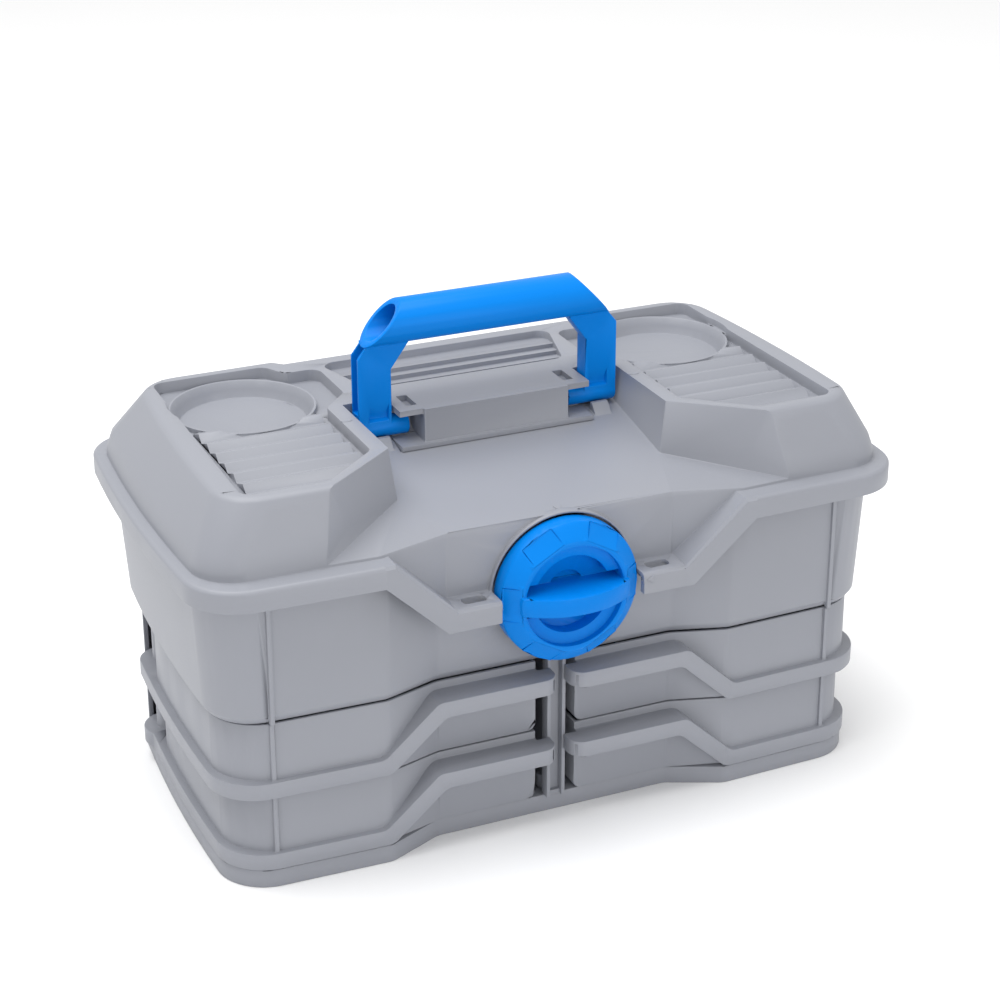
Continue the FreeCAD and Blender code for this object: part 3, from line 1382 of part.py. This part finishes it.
def rod_caps():
    caps = []
    for side in (-1, 1):
        foot = V(side * s.hinge_x, s.hinge_y, s.cap_top_z - s.cap_height)
        cap = Part.makeCylinder(s.cap_radius, s.cap_height, foot)
        grip = Part.makeCylinder(s.rod_radius, s.cap_grip, foot + UP * (s.cap_height - s.cap_grip))
        caps.append(cap.cut(grip))
    return Part.makeCompound(caps)


def lid_hinge_pins():
    return lid_pin_bores(s.lid_pin_radius)


pieces = [
    add_piece("base_tray", base_tray()),
    add_piece("body_tub", body_tub()),
    add_piece("centre_column", centre_column()),
    add_piece("lid", lid()),
    add_piece("carry_handle", carry_handle()),
    add_piece("latch_knob", latch_knob()),
    add_piece("latch_cam", latch_cam()),
    add_piece("latch_screw", latch_screw()),
    add_piece("latch_washer", latch_washer()),
    add_piece("lid_hinge_pins", lid_hinge_pins()),
    add_piece("rod_caps", rod_caps()),
    add_piece("base_screws", base_screws()),
    hinge_rod("left"),
    hinge_rod("right"),
]
DRAWER_LEVELS = (
    ("lower", s.lower_drawer_half, lower_drawer_z),
    ("upper", s.upper_drawer_half, upper_drawer_z),
)
for level, half, z in DRAWER_LEVELS:
    right = drawer(half, z)
    plates = dividers(z)
    pieces.append(add_piece("%s_right_drawer" % level, right))
    pieces.append(add_piece("%s_left_drawer" % level, mirror(right)))
    pieces.append(add_piece("%s_right_dividers" % level, plates))
    pieces.append(add_piece("%s_left_dividers" % level, mirror(plates)))

doc.recompute()

for item in doc.Objects:
    if "Invalid" in item.State or "Error" in item.State:
        raise RuntimeError("%s failed: %s" % (item.Label, item.State))
for piece in pieces:
    if piece.Shape.isNull() or not piece.Shape.isValid():
        raise RuntimeError("%s has no valid shape" % piece.Label)
    print(piece.Label, len(piece.Shape.Solids), "solids", round(piece.Shape.Volume))

os.makedirs("parts", exist_ok=True)
for piece in pieces:
    piece.Shape.exportStep("parts/%s.step" % piece.Label)
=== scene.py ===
import math

import bpy
import numpy as np
from mathutils import Matrix, Vector


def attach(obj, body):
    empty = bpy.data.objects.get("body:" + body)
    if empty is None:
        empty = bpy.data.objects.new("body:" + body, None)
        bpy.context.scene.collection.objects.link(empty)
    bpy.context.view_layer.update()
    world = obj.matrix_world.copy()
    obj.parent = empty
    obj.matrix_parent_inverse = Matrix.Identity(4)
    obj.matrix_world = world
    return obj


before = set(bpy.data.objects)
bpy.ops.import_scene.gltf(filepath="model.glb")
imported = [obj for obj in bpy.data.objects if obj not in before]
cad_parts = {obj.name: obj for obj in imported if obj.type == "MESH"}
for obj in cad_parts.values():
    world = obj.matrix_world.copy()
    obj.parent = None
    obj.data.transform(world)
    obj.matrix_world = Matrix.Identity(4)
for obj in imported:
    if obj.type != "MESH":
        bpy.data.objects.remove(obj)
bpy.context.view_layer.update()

bl_info = {
    "name": "Tackle box dresser",
    "version": (1, 0, 0),
    "blender": (4, 5, 0),
    "location": "View3D > Sidebar > Tackle box",
    "description": "Gives the tackle box its moulded plastic, its small marks and a plain studio",
    "category": "Object",
}

DRAWER_PLACES = ("upper_left", "upper_right", "lower_left", "lower_right")
GREY_NODES = {
    "shells": ("lid", "body_tub", "base_tray", "centre_column", "latch_cam"),
    "drawers": tuple(place + "_drawer" for place in DRAWER_PLACES),
    "dividers": tuple(place + "_dividers" for place in DRAWER_PLACES),
}
BLUE_NODES = ("carry_handle", "latch_knob")
STEEL_NODES = ("latch_screw", "latch_washer", "lid_hinge_pins", "rod_caps", "base_screws",
               "left_hinge_rod", "right_hinge_rod")


# Settings that a user would change

class PlasticSettings(bpy.types.PropertyGroup):
    grey: bpy.props.FloatVectorProperty(
        name="Grey", description="Colour of the moulded shells and drawers",
        subtype="COLOR", size=3, min=0, max=1, default=(0.245, 0.254, 0.285))
    blue: bpy.props.FloatVectorProperty(
        name="Blue", description="Colour of the handle and the knob",
        subtype="COLOR", size=3, min=0, max=1, default=(0.0, 0.175, 0.60))
    steel: bpy.props.FloatVectorProperty(
        name="Steel", description="Colour of the rods, pins and screws",
        subtype="COLOR", size=3, min=0, max=1, default=(0.56, 0.56, 0.57))
    edge_round: bpy.props.FloatProperty(
        name="Edge rounding", description="How far the moulded edges are rounded",
        subtype="DISTANCE", unit="LENGTH", min=0, max=0.002, default=0.0006)
    sharp_angle: bpy.props.FloatProperty(
        name="Sharp angle", description="Edges that bend more than this are rounded",
        subtype="ANGLE", unit="ROTATION", min=0, max=math.pi, default=math.radians(33))


class StudioSettings(bpy.types.PropertyGroup):
    floor_colour: bpy.props.FloatVectorProperty(
        name="Floor", description="Colour of the pale floor",
        subtype="COLOR", size=3, min=0, max=1, default=(0.93, 0.93, 0.93))
    camera_place: bpy.props.FloatVectorProperty(
        name="Camera place", description="Where the camera stands",
        subtype="TRANSLATION", unit="LENGTH", size=3, default=(-0.5378, -1.2206, 0.7516))
    camera_azimuth: bpy.props.FloatProperty(
        name="Camera azimuth", description="Turn of the camera round the box",
        subtype="ANGLE", unit="ROTATION", default=math.radians(-24.06))
    camera_elevation: bpy.props.FloatProperty(
        name="Camera elevation", description="How far the camera looks down",
        subtype="ANGLE", unit="ROTATION", default=math.radians(23.79))
    camera_roll: bpy.props.FloatProperty(
        name="Camera roll", description="Turn of the picture about its middle",
        subtype="ANGLE", unit="ROTATION", default=math.radians(-0.12))
    lens: bpy.props.FloatProperty(
        name="Lens", description="Focal length on a 36 mm frame", subtype="DISTANCE_CAMERA",
        unit="CAMERA", min=10, max=300, default=87.69)


# Meshes

# the share of the full round that every edge gets but the brink between platform and roof
SMALL_ROUND_SHARE = 0.3
MERGE_DISTANCE = 2e-6
SHARP_SHADING = math.radians(28)

# where the ramps of the lid's front lie, which are eased in the solid
RAMP_INNER_X = 0.058
RAMP_OUTER_X = 0.118
RAMP_REAR_Y = -0.112
RAMP_FOOT_Z = 0.150

# the level of the platforms' tops, and the bend below which an edge there meets the roof's slope
BRINK_LOW_Z = 0.2338
BRINK_HIGH_Z = 0.2346
BRINK_BEND = 1.2


def soft_edges():
    """The node group that joins a CAD node's loose triangles and shades its gentle bends smooth."""
    name = "joined_and_smooth"
    if name in bpy.data.node_groups:
        return bpy.data.node_groups[name]
    group = bpy.data.node_groups.new(name, "GeometryNodeTree")
    group.interface.new_socket("Geometry", in_out="INPUT", socket_type="NodeSocketGeometry")
    group.interface.new_socket("Geometry", in_out="OUTPUT", socket_type="NodeSocketGeometry")
    nodes, links = group.nodes, group.links
    source = nodes.new("NodeGroupInput")
    result = nodes.new("NodeGroupOutput")
    merge = nodes.new("GeometryNodeMergeByDistance")
    merge.inputs["Distance"].default_value = MERGE_DISTANCE
    links.new(source.outputs[0], merge.inputs["Geometry"])
    faces = nodes.new("GeometryNodeSetShadeSmooth")
    faces.domain = "FACE"
    links.new(merge.outputs["Geometry"], faces.inputs["Geometry"])
    links.new(faces.outputs["Geometry"], result.inputs[0])
    return group


def smooth_by_angle():
    """The node group that keeps the bends over a limit sharp in the shading."""
    name = "sharp_by_angle"
    if name in bpy.data.node_groups:
        return bpy.data.node_groups[name]
    group = bpy.data.node_groups.new(name, "GeometryNodeTree")
    group.interface.new_socket("Geometry", in_out="INPUT", socket_type="NodeSocketGeometry")
    group.interface.new_socket("Geometry", in_out="OUTPUT", socket_type="NodeSocketGeometry")
    nodes, links = group.nodes, group.links
    source = nodes.new("NodeGroupInput")
    result = nodes.new("NodeGroupOutput")
    angle = nodes.new("GeometryNodeInputMeshEdgeAngle")
    over = nodes.new("FunctionNodeCompare")
    over.data_type = "FLOAT"
    over.operation = "GREATER_THAN"
    over.inputs[1].default_value = SHARP_SHADING
    links.new(angle.outputs["Unsigned Angle"], over.inputs[0])
    edges = nodes.new("GeometryNodeSetShadeSmooth")
    edges.domain = "EDGE"
    edges.inputs["Shade Smooth"].default_value = False
    links.new(source.outputs[0], edges.inputs["Geometry"])
    links.new(over.outputs[0], edges.inputs["Selection"])
    links.new(edges.outputs["Geometry"], result.inputs[0])
    return group


def edges_to_round(angle):
    """The node group that weighs the sharp edges to round, and leaves out the eased ramps of the lid's front.

    An edge counts where its bend is over the angle. The ramps lie between two widths from the middle, in
    front of a depth: their chamfers are modelled already and are too narrow for a second round. The brink
    between a platform's top and the roof's slope gets the whole width, and all others a share of it.
    """
    name = "edges_to_round"
    if name in bpy.data.node_groups:
        return bpy.data.node_groups[name]
    group = bpy.data.node_groups.new(name, "GeometryNodeTree")
    group.interface.new_socket("Geometry", in_out="INPUT", socket_type="NodeSocketGeometry")
    group.interface.new_socket("Geometry", in_out="OUTPUT", socket_type="NodeSocketGeometry")
    nodes, links = group.nodes, group.links

    def compare(value, operation, limit):
        node = nodes.new("FunctionNodeCompare")
        node.data_type = "FLOAT"
        node.operation = operation
        node.inputs[1].default_value = limit
        links.new(value, node.inputs[0])
        return node.outputs["Result"]

    def both_true(first, second, operation="AND"):
        node = nodes.new("FunctionNodeBooleanMath")
        node.operation = operation
        links.new(first, node.inputs[0])
        links.new(second, node.inputs[1])
        return node.outputs["Boolean"]

    source = nodes.new("NodeGroupInput")
    result = nodes.new("NodeGroupOutput")
    bend = nodes.new("GeometryNodeInputMeshEdgeAngle")
    place = nodes.new("ShaderNodeSeparateXYZ")
    links.new(nodes.new("GeometryNodeInputPosition").outputs["Position"], place.inputs["Vector"])
    across = nodes.new("ShaderNodeMath")
    across.operation = "ABSOLUTE"
    links.new(place.outputs["X"], across.inputs[0])
    on_ramp = both_true(compare(across.outputs["Value"], "GREATER_THAN", RAMP_INNER_X),
                        compare(across.outputs["Value"], "LESS_THAN", RAMP_OUTER_X))
    in_front = both_true(compare(place.outputs["Y"], "LESS_THAN", RAMP_REAR_Y),
                         compare(place.outputs["Z"], "GREATER_THAN", RAMP_FOOT_Z))
    eased = both_true(on_ramp, in_front)
    sharp = compare(bend.outputs["Unsigned Angle"], "GREATER_THAN", angle)
    marked = both_true(sharp, eased, "NIMPLY")
    level = both_true(compare(place.outputs["Z"], "GREATER_THAN", BRINK_LOW_Z),
                      compare(place.outputs["Z"], "LESS_THAN", BRINK_HIGH_Z))
    brink = both_true(level, compare(bend.outputs["Unsigned Angle"], "LESS_THAN", BRINK_BEND))
    size = nodes.new("ShaderNodeMapRange")
    size.inputs["To Min"].default_value = SMALL_ROUND_SHARE
    size.inputs["To Max"].default_value = 1
    links.new(brink, size.inputs["Value"])
    weight = nodes.new("ShaderNodeMath")
    weight.operation = "MULTIPLY"
    links.new(marked, weight.inputs[0])
    links.new(size.outputs["Result"], weight.inputs[1])
    store = nodes.new("GeometryNodeStoreNamedAttribute")
    store.data_type = "FLOAT"
    store.domain = "EDGE"
    store.inputs["Name"].default_value = "bevel_weight_edge"
    links.new(weight.outputs["Value"], store.inputs["Value"])
    links.new(source.outputs[0], store.inputs["Geometry"])
    links.new(store.outputs["Geometry"], result.inputs[0])
    return group


def round_edges(piece, width, angle, segments=2):
    """Joins the triangles, then rounds the edges that bend sharply, most of them by the given width."""
    joined = piece.modifiers.new("joined", "NODES")
    joined.node_group = soft_edges()
    marked = piece.modifiers.new("marked_edges", "NODES")
    marked.node_group = edges_to_round(angle)
    bevel = piece.modifiers.new("moulded_edges", "BEVEL")
    bevel.width = width / SMALL_ROUND_SHARE
    bevel.segments = segments
    bevel.limit_method = "WEIGHT"
    bevel.use_clamp_overlap = False
    bevel.harden_normals = True
    sharp = piece.modifiers.new("sharp_bends", "NODES")
    sharp.node_group = smooth_by_angle()


# Materials

def moulded_surface_group():
    """Shared effect: fine spark-eroded grain and slow cloudiness of a moulding.

    Grain is fine noise; Cloud is slow noise from zero to one; both run on Object coordinates.
    """
    name = "moulded_surface"
    if name in bpy.data.node_groups:
        return bpy.data.node_groups[name]
    group = bpy.data.node_groups.new(name, "ShaderNodeTree")
    socket = group.interface.new_socket
    socket("Grain scale", in_out="INPUT", socket_type="NodeSocketFloat").default_value = 1800
    socket("Cloud scale", in_out="INPUT", socket_type="NodeSocketFloat").default_value = 9
    socket("Grain", in_out="OUTPUT", socket_type="NodeSocketFloat")
    socket("Cloud", in_out="OUTPUT", socket_type="NodeSocketFloat")
    nodes, links = group.nodes, group.links
    source = nodes.new("NodeGroupInput")
    result = nodes.new("NodeGroupOutput")
    place = nodes.new("ShaderNodeTexCoord")
    grain = nodes.new("ShaderNodeTexNoise")
    grain.inputs["Detail"].default_value = 2
    cloud = nodes.new("ShaderNodeTexNoise")
    cloud.inputs["Detail"].default_value = 3
    links.new(place.outputs["Object"], grain.inputs["Vector"])
    links.new(place.outputs["Object"], cloud.inputs["Vector"])
    links.new(source.outputs["Grain scale"], grain.inputs["Scale"])
    links.new(source.outputs["Cloud scale"], cloud.inputs["Scale"])
    links.new(grain.outputs["Fac"], result.inputs["Grain"])
    links.new(cloud.outputs["Fac"], result.inputs["Cloud"])
    return group


def moulded_plastic(name, colour, roughness, grain_height, cloud_share, gleam=0.5):
    """A moulded plastic: its colour drifts a little, and fine grain breaks up its sheen."""
    material = bpy.data.materials.new(name)
    material.use_nodes = True
    nodes, links = material.node_tree.nodes, material.node_tree.links
    shader = nodes["Principled BSDF"]
    shader.inputs["IOR"].default_value = 1.5
    shader.inputs["Specular IOR Level"].default_value = gleam
    effect = nodes.new("ShaderNodeGroup")
    effect.node_tree = moulded_surface_group()
    effect.inputs["Grain scale"].default_value = 1800
    effect.inputs["Cloud scale"].default_value = 9
    tone = nodes.new("ShaderNodeMix")
    tone.data_type = "RGBA"
    darker = [c * (1 - cloud_share) for c in colour]
    lighter = [min(1, c * (1 + cloud_share)) for c in colour]
    tone.inputs["A"].default_value = (*darker, 1)
    tone.inputs["B"].default_value = (*lighter, 1)
    links.new(effect.outputs["Cloud"], tone.inputs["Factor"])
    links.new(tone.outputs["Result"], shader.inputs["Base Color"])
    gloss = nodes.new("ShaderNodeMapRange")
    gloss.inputs["To Min"].default_value = roughness - 0.05
    gloss.inputs["To Max"].default_value = roughness + 0.05
    links.new(effect.outputs["Grain"], gloss.inputs["Value"])
    links.new(gloss.outputs["Result"], shader.inputs["Roughness"])
    bump = nodes.new("ShaderNodeBump")
    bump.inputs["Strength"].default_value = 0.35
    bump.inputs["Distance"].default_value = grain_height
    links.new(effect.outputs["Grain"], bump.inputs["Height"])
    links.new(bump.outputs["Normal"], shader.inputs["Normal"])
    return material


def brushed_steel(name, colour):
    """Zinc-plated steel: its colour drifts a little, and fine grain breaks up its sheen."""
    material = bpy.data.materials.new(name)
    material.use_nodes = True
    nodes, links = material.node_tree.nodes, material.node_tree.links
    shader = nodes["Principled BSDF"]
    shader.inputs["Metallic"].default_value = 1
    effect = nodes.new("ShaderNodeGroup")
    effect.node_tree = moulded_surface_group()
    effect.inputs["Grain scale"].default_value = 900
    effect.inputs["Cloud scale"].default_value = 60
    tone = nodes.new("ShaderNodeMix")
    tone.data_type = "RGBA"
    tone.inputs["A"].default_value = (*[c * 0.85 for c in colour], 1)
    tone.inputs["B"].default_value = (*[min(1, c * 1.1) for c in colour], 1)
    links.new(effect.outputs["Cloud"], tone.inputs["Factor"])
    links.new(tone.outputs["Result"], shader.inputs["Base Color"])
    gloss = nodes.new("ShaderNodeMapRange")
    gloss.inputs["To Min"].default_value = 0.25
    gloss.inputs["To Max"].default_value = 0.45
    links.new(effect.outputs["Grain"], gloss.inputs["Value"])
    links.new(gloss.outputs["Result"], shader.inputs["Roughness"])
    return material


def finish_of(name):
    """The one material of each finish, made when first asked for."""
    known = bpy.data.materials.get(name)
    if known:
        return known
    colours = bpy.context.scene.tackle_box_plastic
    if name == "moulded_grey":
        return moulded_plastic(name, tuple(colours.grey), 0.46, 0.00004, 0.035, 0.45)
    if name == "moulded_blue":
        return moulded_plastic(name, tuple(colours.blue), 0.34, 0.00002, 0.05, 0.10)
    if name == "zinc_steel":
        return brushed_steel(name, tuple(colours.steel))
    raise RuntimeError("no finish is named %s" % name)


def dress(node_name, finish):
    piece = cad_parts[node_name]
    piece.data.materials.clear()
    piece.data.materials.append(finish_of(finish))
    return piece


# Operators

class DressShells(bpy.types.Operator):
    """Gives the lid, the bin, the base and the column their grey plastic and rounded edges"""
    bl_idname = "tackle_box.dress_shells"
    bl_label = "Dress the shells"

    def execute(self, context):
        settings = context.scene.tackle_box_plastic
        for name in GREY_NODES["shells"]:
            round_edges(dress(name, "moulded_grey"), settings.edge_round, settings.sharp_angle)
        return {"FINISHED"}


class DressDrawers(bpy.types.Operator):
    """Gives the drawers and their dividers their grey plastic and rounded edges"""
    bl_idname = "tackle_box.dress_drawers"
    bl_label = "Dress the drawers"

    def execute(self, context):
        settings = context.scene.tackle_box_plastic
        for name in GREY_NODES["drawers"] + GREY_NODES["dividers"]:
            round_edges(dress(name, "moulded_grey"), settings.edge_round, settings.sharp_angle)
        return {"FINISHED"}


class DressHandleAndKnob(bpy.types.Operator):
    """Gives the carrying handle and the knob their blue plastic and rounded edges"""
    bl_idname = "tackle_box.dress_handle_and_knob"
    bl_label = "Dress the handle and knob"

    def execute(self, context):
        settings = context.scene.tackle_box_plastic
        for name in BLUE_NODES:
            round_edges(dress(name, "moulded_blue"), settings.edge_round, settings.sharp_angle)
        return {"FINISHED"}


class DressSteel(bpy.types.Operator):
    """Gives the rods, pins, caps and screws their plated steel"""
    bl_idname = "tackle_box.dress_steel"
    bl_label = "Dress the steel"

    def execute(self, context):
        for name in STEEL_NODES:
            dress(name, "zinc_steel")
        return {"FINISHED"}


# Small mouldings on the lid, in metres

SADDLE_SLOPE = math.radians(9.7)
KNOB_POINTER_PLACE = (0.0004, -0.0962, 0.1968)
KNOB_POINTER_HALF_WIDTH = 0.0026
KNOB_POINTER_HALF_LENGTH = 0.0030
KNOB_POINTER_RISE = 0.0005
FLANGE_POINTER_PLACE = (0.0478, -0.1180, 0.1532)
FLANGE_POINTER_HALF_WIDTH = 0.0021
FLANGE_POINTER_HALF_HEIGHT = 0.0024
FLANGE_POINTER_RISE = 0.0004
LEFT_EJECTOR_PLACE = (-0.0931, -0.0110, 0.2342)
RIGHT_EJECTOR_PLACE = (0.0902, -0.0108, 0.2342)
EJECTOR_HALF_LENGTH = 0.0034
EJECTOR_HALF_WIDTH = 0.0018
EJECTOR_RISE = 0.0003
LEDGE_PLACE = (0, 0.1080, 0.2054)
LEDGE_FRONT_HALF = 0.0965
LEDGE_REAR_HALF = 0.1035
LEDGE_HALF_DEPTH = 0.0045
LEDGE_HALF_THICKNESS = 0.0015
OVAL_POINTS = 24
MARK_EDGE_SHARE = 0.5


def flat_moulding(name, outline, place, along, up, half_thickness):
    """A flat piece on the lid: an outline swept as far below its place as above it, as two rings of points.

    The outline's points are x along one direction and y along the other, from the place.
    """
    along = Vector(along).normalized()
    up = Vector(up).normalized()
    points = np.array([Vector(place) + along * x + up * y for x, y in outline])
    lift = np.array(along.cross(up)) * half_thickness
    rings = np.vstack([points - lift, points + lift])
    count = len(outline)
    faces = [tuple(range(count, 2 * count)), tuple(reversed(range(count)))]
    faces += [(i, (i + 1) % count, (i + 1) % count + count, i + count) for i in range(count)]
    mesh = bpy.data.meshes.new(name)
    mesh.from_pydata(rings.tolist(), [], faces)
    mesh.materials.append(finish_of("moulded_grey"))
    moulding = bpy.data.objects.new(name, mesh)
    bpy.context.scene.collection.objects.link(moulding)
    bevel = moulding.modifiers.new("soft_edges", "BEVEL")
    bevel.width = half_thickness * MARK_EDGE_SHARE
    bevel.segments = 2
    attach(moulding, "lid_body")
    return moulding


def knob_pointer():
    """A triangle on the saddle's slope behind the crest, with its tip towards the knob."""
    half, length = KNOB_POINTER_HALF_WIDTH, KNOB_POINTER_HALF_LENGTH
    outline = [(-half, length), (0, -length), (half, length)]
    rising = (0, math.cos(SADDLE_SLOPE), math.sin(SADDLE_SLOPE))
    return flat_moulding("knob_pointer", outline, KNOB_POINTER_PLACE, (1, 0, 0), rising, KNOB_POINTER_RISE)


def flange_pointer():
    """A triangle on the right flange's front, with its tip towards the knob."""
    half, height = FLANGE_POINTER_HALF_WIDTH, FLANGE_POINTER_HALF_HEIGHT
    outline = [(-half, 0), (half, -height), (half, height)]
    upright = (0, 0, 1)
    return flat_moulding("flange_pointer", outline, FLANGE_POINTER_PLACE, (1, 0, 0), upright, FLANGE_POINTER_RISE)


def ejector_mark(name, place):
    """A low oval on a platform's top: an ellipse's points from its two half axes."""
    turns = np.linspace(0, 2 * math.pi, OVAL_POINTS, endpoint=False)
    outline = [(EJECTOR_HALF_LENGTH * math.cos(t), EJECTOR_HALF_WIDTH * math.sin(t)) for t in turns]
    return flat_moulding(name, outline, place, (1, 0, 0), (0, 1, 0), EJECTOR_RISE)


def rear_notch_ledge():
    """The ledge across the foot of the rear notch, which closes the slit that the lid's solid has there."""
    front, rear, depth = LEDGE_FRONT_HALF, LEDGE_REAR_HALF, LEDGE_HALF_DEPTH
    outline = [(-front, -depth), (front, -depth), (rear, depth), (-rear, depth)]
    return flat_moulding("rear_notch_ledge", outline, LEDGE_PLACE, (1, 0, 0), (0, 1, 0), LEDGE_HALF_THICKNESS)


class MouldMarks(bpy.types.Operator):
    """Adds the two pointers beside the knob and the two ejector marks on the platforms"""
    bl_idname = "tackle_box.mould_marks"
    bl_label = "Mould marks"

    def execute(self, context):
        knob_pointer()
        flange_pointer()
        ejector_mark("left_ejector_mark", LEFT_EJECTOR_PLACE)
        ejector_mark("right_ejector_mark", RIGHT_EJECTOR_PLACE)
        return {"FINISHED"}


class CloseRearNotch(bpy.types.Operator):
    """Adds the ledge in the lid's rear notch"""
    bl_idname = "tackle_box.close_rear_notch"
    bl_label = "Close the rear notch"

    def execute(self, context):
        rear_notch_ledge()
        return {"FINISHED"}


def studio_light(name, place, target, size, power):
    """A square soft light that looks at a point."""
    data = bpy.data.lights.new(name, "AREA")
    data.energy = power
    data.size = size
    lamp = bpy.data.objects.new(name, data)
    lamp.location = place
    lamp.rotation_euler = (Vector(target) - Vector(place)).to_track_quat("-Z", "Y").to_euler()
    bpy.context.scene.collection.objects.link(lamp)
    return lamp


def pale_floor(half, colour):
    """A flat square grid at the height of the box's underside."""
    steps = np.linspace(-half, half, 3)
    x, y = np.meshgrid(steps, steps)
    points = np.column_stack([x.ravel(), y.ravel(), np.zeros(x.size)])
    faces = [(i, i + 1, i + 4, i + 3) for i in (0, 1, 3, 4)]
    mesh = bpy.data.meshes.new("floor")
    mesh.from_pydata(points.tolist(), [], faces)
    floor = bpy.data.objects.new("floor", mesh)
    bpy.context.scene.collection.objects.link(floor)
    material = bpy.data.materials.new("pale_floor")
    material.use_nodes = True
    shader = material.node_tree.nodes["Principled BSDF"]
    shader.inputs["Base Color"].default_value = (*colour, 1)
    shader.inputs["Roughness"].default_value = 0.9
    shader.inputs["Specular IOR Level"].default_value = 0.1
    mesh.materials.append(material)
    return floor


class BuildStudio(bpy.types.Operator):
    """Adds the pale floor, the soft lights and the camera"""
    bl_idname = "tackle_box.build_studio"
    bl_label = "Build the studio"

    def execute(self, context):
        scene = context.scene
        settings = scene.tackle_box_studio
        pale_floor(6.0, tuple(settings.floor_colour))
        world = bpy.data.worlds.new("studio_sky")
        world.use_nodes = True
        sky = world.node_tree.nodes["Background"]
        sky.inputs["Color"].default_value = (1, 1, 1, 1)
        sky.inputs["Strength"].default_value = 0.88
        scene.world = world
        studio_light("top_light", (-0.4, 0.1, 1.8), (0, 0, 0.1), 1.5, 31)
        studio_light("front_light", (0.3, -2.4, 0.6), (0, 0, 0.1), 1.4, 12)
        camera = bpy.data.objects.new("camera", bpy.data.cameras.new("camera"))
        scene.collection.objects.link(camera)
        camera.data.sensor_width = 36
        camera.data.lens = settings.lens
        azimuth, elevation, roll = settings.camera_azimuth, settings.camera_elevation, settings.camera_roll
        back = Vector((math.sin(azimuth) * math.cos(elevation), -math.cos(azimuth) * math.cos(elevation),
                       math.sin(elevation)))
        level = (-back).cross(Vector((0, 0, 1))).normalized()
        upright = level.cross(-back)
        right = level * math.cos(roll) + upright * math.sin(roll)
        up = upright * math.cos(roll) - level * math.sin(roll)
        turn = Matrix((right, up, back)).transposed().to_4x4()
        camera.matrix_world = Matrix.Translation(Vector(settings.camera_place)) @ turn
        camera.data.clip_start = 0.05
        camera.data.clip_end = 50
        scene.camera = camera
        scene.view_settings.view_transform = "Standard"
        return {"FINISHED"}


class TackleBoxPanel(bpy.types.Panel):
    """Lists the steps that dress the tackle box"""
    bl_idname = "VIEW3D_PT_tackle_box"
    bl_label = "Tackle box"
    bl_space_type = "VIEW_3D"
    bl_region_type = "UI"
    bl_category = "Tackle box"

    def draw(self, context):
        for settings in (context.scene.tackle_box_plastic, context.scene.tackle_box_studio):
            for name in settings.__annotations__:
                self.layout.prop(settings, name)
        for step in STEPS:
            self.layout.operator(step.bl_idname)


STEPS = (DressShells, DressDrawers, DressHandleAndKnob, DressSteel, MouldMarks, CloseRearNotch,
         BuildStudio)
CLASSES = (PlasticSettings, StudioSettings) + STEPS + (TackleBoxPanel,)


def register():
    for item in CLASSES:
        bpy.utils.register_class(item)
    bpy.types.Scene.tackle_box_plastic = bpy.props.PointerProperty(type=PlasticSettings)
    bpy.types.Scene.tackle_box_studio = bpy.props.PointerProperty(type=StudioSettings)


def unregister():
    del bpy.types.Scene.tackle_box_studio
    del bpy.types.Scene.tackle_box_plastic
    for item in reversed(CLASSES):
        bpy.utils.unregister_class(item)


def main():
    register()
    for step in STEPS:
        group, name = step.bl_idname.split(".")
        getattr(getattr(bpy.ops, group), name)()


if __name__ == "__main__":
    main()
